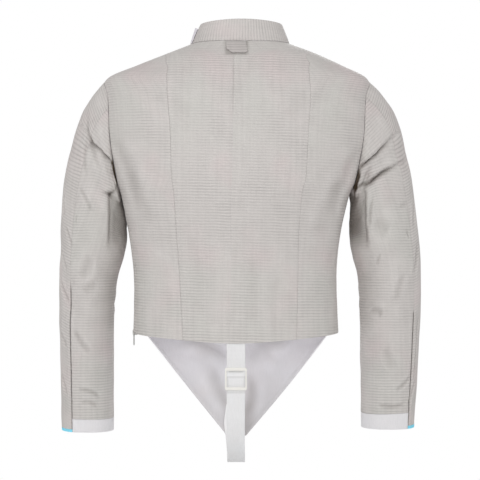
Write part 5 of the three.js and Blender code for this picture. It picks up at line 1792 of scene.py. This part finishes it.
def row_at(name, distance, from_end=False, axis=0):
    """The row (or column) of a sheet that lies nearest a distance from its edge."""
    grid = GRIDS[name]
    covered = travelled(grid, axis)
    middle = covered[:, grid.shape[1] // 2] if axis == 0 else covered[grid.shape[0] // 2]
    if from_end:
        middle = middle[-1] - middle
    return int(np.argmin(np.abs(middle - distance)))


SLEEVE_HEM_STITCHES = (7.0, 3.8)
BODY_HEM_STITCH = 11.0
MIDDLE_STITCH, MIDDLE_STITCH_ENDS = 6.8, 0.86
ZIP_STITCH = 5.0
COLLAR_STITCHES = (2.6, 34.5)
FLAP_STITCHES = (1.9, 5.6)
CUFF_STITCH_ROW = -3
TAB_STITCHES = [
    # x and z of each corner in mm, 1.6 mm inside the tab's edge, then a little further in
    [(18.0, -11.5), (18.0, -22.9), (9.6, -29.8), (-11.0, -29.8), (-13.7, -28.2), (-13.5, -26),
     (-11.2, -11.5)],
    [(16.2, -11.5), (16.2, -22.0), (9.0, -28.0), (-10.4, -28.0), (-11.7, -27.2), (-11.6, -25.6),
     (-9.5, -11.5)],
]
TAB_POINT_SPACING = 1.5
STITCH = {"spacing": 0.0034, "length": 0.0027, "height": 0.0003}
TAB_FACE = float(tab_points[:, 1].max())
print("tab face at y in mm", round(TAB_FACE, 2))

lame_lines = []
for side in ("left", "right"):
    for part in ("upper", "under"):
        name = f"sleeve_{part}_{side}"
        for distance in SLEEVE_HEM_STITCHES:
            row = row_at(name, distance, from_end=True)
            lame_lines.append(grid_line(name, -SLEEVES[side]["sign"], row=row))
for name in BODY_PIECES:
    lame_lines.append(grid_line(name, 1, row=row_at(name, BODY_HEM_STITCH)))
below_yoke = slice(0, int(GRIDS["back_centre_left"].shape[0] * MIDDLE_STITCH_ENDS))
for name, distance, from_end, cut in (("back_centre_left", MIDDLE_STITCH, False, below_yoke),
                                      ("back_centre_right", MIDDLE_STITCH, True, below_yoke),
                                      ("front_main", ZIP_STITCH, True, slice(None)),
                                      ("front_side_left", ZIP_STITCH, False, slice(None))):
    column = row_at(name, distance, axis=1, from_end=from_end)
    lame_lines.append(grid_line(name, 1, column=column, cut=cut))
for distance in COLLAR_STITCHES:
    lame_lines.append(grid_line("collar", 1, row=row_at("collar", distance)))
for path in TAB_STITCHES:
    ends = np.array([(x, TAB_FACE, z) for x, z in path], float)
    covered = travelled(ends[:, None], 0)[:, 0]
    at = np.linspace(0, covered[-1], int(covered[-1] / TAB_POINT_SPACING))
    points = np.stack([np.interp(at, covered, ends[:, k]) for k in range(3)], -1)
    lame_lines.append((points, np.tile([0.0, 1.0, 0.0], (len(points), 1))))
lame_sewing = row_along("sewing_lame", STITCH_ROW, lame_lines, width=0.00042, finish=THREAD, **STITCH)

white_lines = []
for distance in FLAP_STITCHES:
    for from_end in (False, True):
        column = row_at("crotch_flap", distance, axis=1, from_end=from_end)
        white_lines.append(grid_line("crotch_flap", -1, column=column))
for side in ("left", "right"):
    white_lines.append(grid_line("cuff_band_" + side, -SLEEVES[side]["sign"], row=CUFF_STITCH_ROW))
white_sewing = row_along("sewing_white", STITCH_ROW, white_lines, width=0.0004, finish=WHITE, **STITCH)

# %% [markdown]
# ## The zip
# The zip is closed: two rows of teeth lock in the middle of a narrow tape between the two fronts.
# The tape is a sheet of its own, and each row of teeth is a line of small blocks, one row half a
# tooth further on than the other.

# %% Zip
ZIP_CHAIN_END = -497.6
ZIP_ROWS = 260
TAPE_COLUMNS = np.array([-3.85, -3.0, -2.0, -1.0, 0, 1.0, 2.0, 3.0, 3.85])
TAPE_SUNK, TAPE_THICKNESS = 0.6, 1.0
TOOTH_PITCH = 2.1
TOOTH_REACH = 1.0
TOOTH_SUNK = 0.35
TOOTH = {"length": 0.0013, "width": 0.0026, "height": 0.0013}


def zip_sheet():
    """Makes the tape and returns the two lines of teeth, as (points, outward directions)."""
    levels = np.linspace(0, NECK_LEVEL, ZIP_ROWS)
    middle = body_point(seam_line("zip", levels), levels)
    low = np.argmax(middle[:, 2] > ZIP_CHAIN_END)
    levels, middle = levels[low:], middle[low:]
    angle = seam_line("zip", levels)
    side = body_point(angle + 1, levels) - body_point(angle - 1, levels)
    along = np.gradient(middle, axis=0)
    out = np.cross(side, along)
    out /= np.linalg.norm(out, axis=1, keepdims=True)
    across = np.cross(along, out)
    across /= np.linalg.norm(across, axis=1, keepdims=True)
    grid = middle[:, None] - across[:, None] * TAPE_COLUMNS[None, :, None] - out[:, None] * TAPE_SUNK
    length = travelled(middle[:, None], 0)
    uv = np.stack(np.broadcast_arrays(TAPE_COLUMNS, length), -1)
    seam = np.zeros(grid.shape[:2])
    cut_size("zip_chain", grid)
    PIECES["zip_chain"] = sheet_mesh("cloth_zip_tape", grid, 1, uv, seam, ZIP_TAPE, ZIP_TAPE,
                                     thickness=TAPE_THICKNESS)
    rows = []
    for hand, start in ((-1, 0), (1, TOOTH_PITCH / 2)):
        line = middle - across * (hand * TOOTH_REACH) - out * TOOTH_SUNK
        covered = travelled(line[:, None], 0)[:, 0]
        moved = np.arange(start, covered[-1], TOOTH_PITCH / 2)
        picked = np.stack([np.interp(moved, covered, line[:, k]) for k in range(3)], -1)
        facing = np.stack([np.interp(moved, covered, out[:, k]) for k in range(3)], -1)
        rows.append((picked, facing))
    return rows


teeth = row_along("zip_teeth", TOOTH_ROW, zip_sheet(), spacing=TOOTH_PITCH * MM, finish=ZIP_METAL, **TOOTH)

# %% [markdown]
# ## Tying every piece to the frame
# Each piece rides on a CAD body by name and stands for the node it was made on. Only the pull tab
# turns, so it has its own body.

for name, piece in PIECES.items():
    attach(piece, "jacket")
    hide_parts(name)
for piece, body, slot in ((lame_sewing, "jacket", "lame_cloth"), (white_sewing, "jacket", "white_cloth"),
                          (teeth, "jacket", "zip_metal"), (buckle, "jacket", "buckle_plastic"),
                          (slider, "jacket", "zip_metal"), (pull, "pull_tab", "zip_metal")):
    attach(piece, body)
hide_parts("strap_buckle")
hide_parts("zip_slider")
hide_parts("zip_pull")
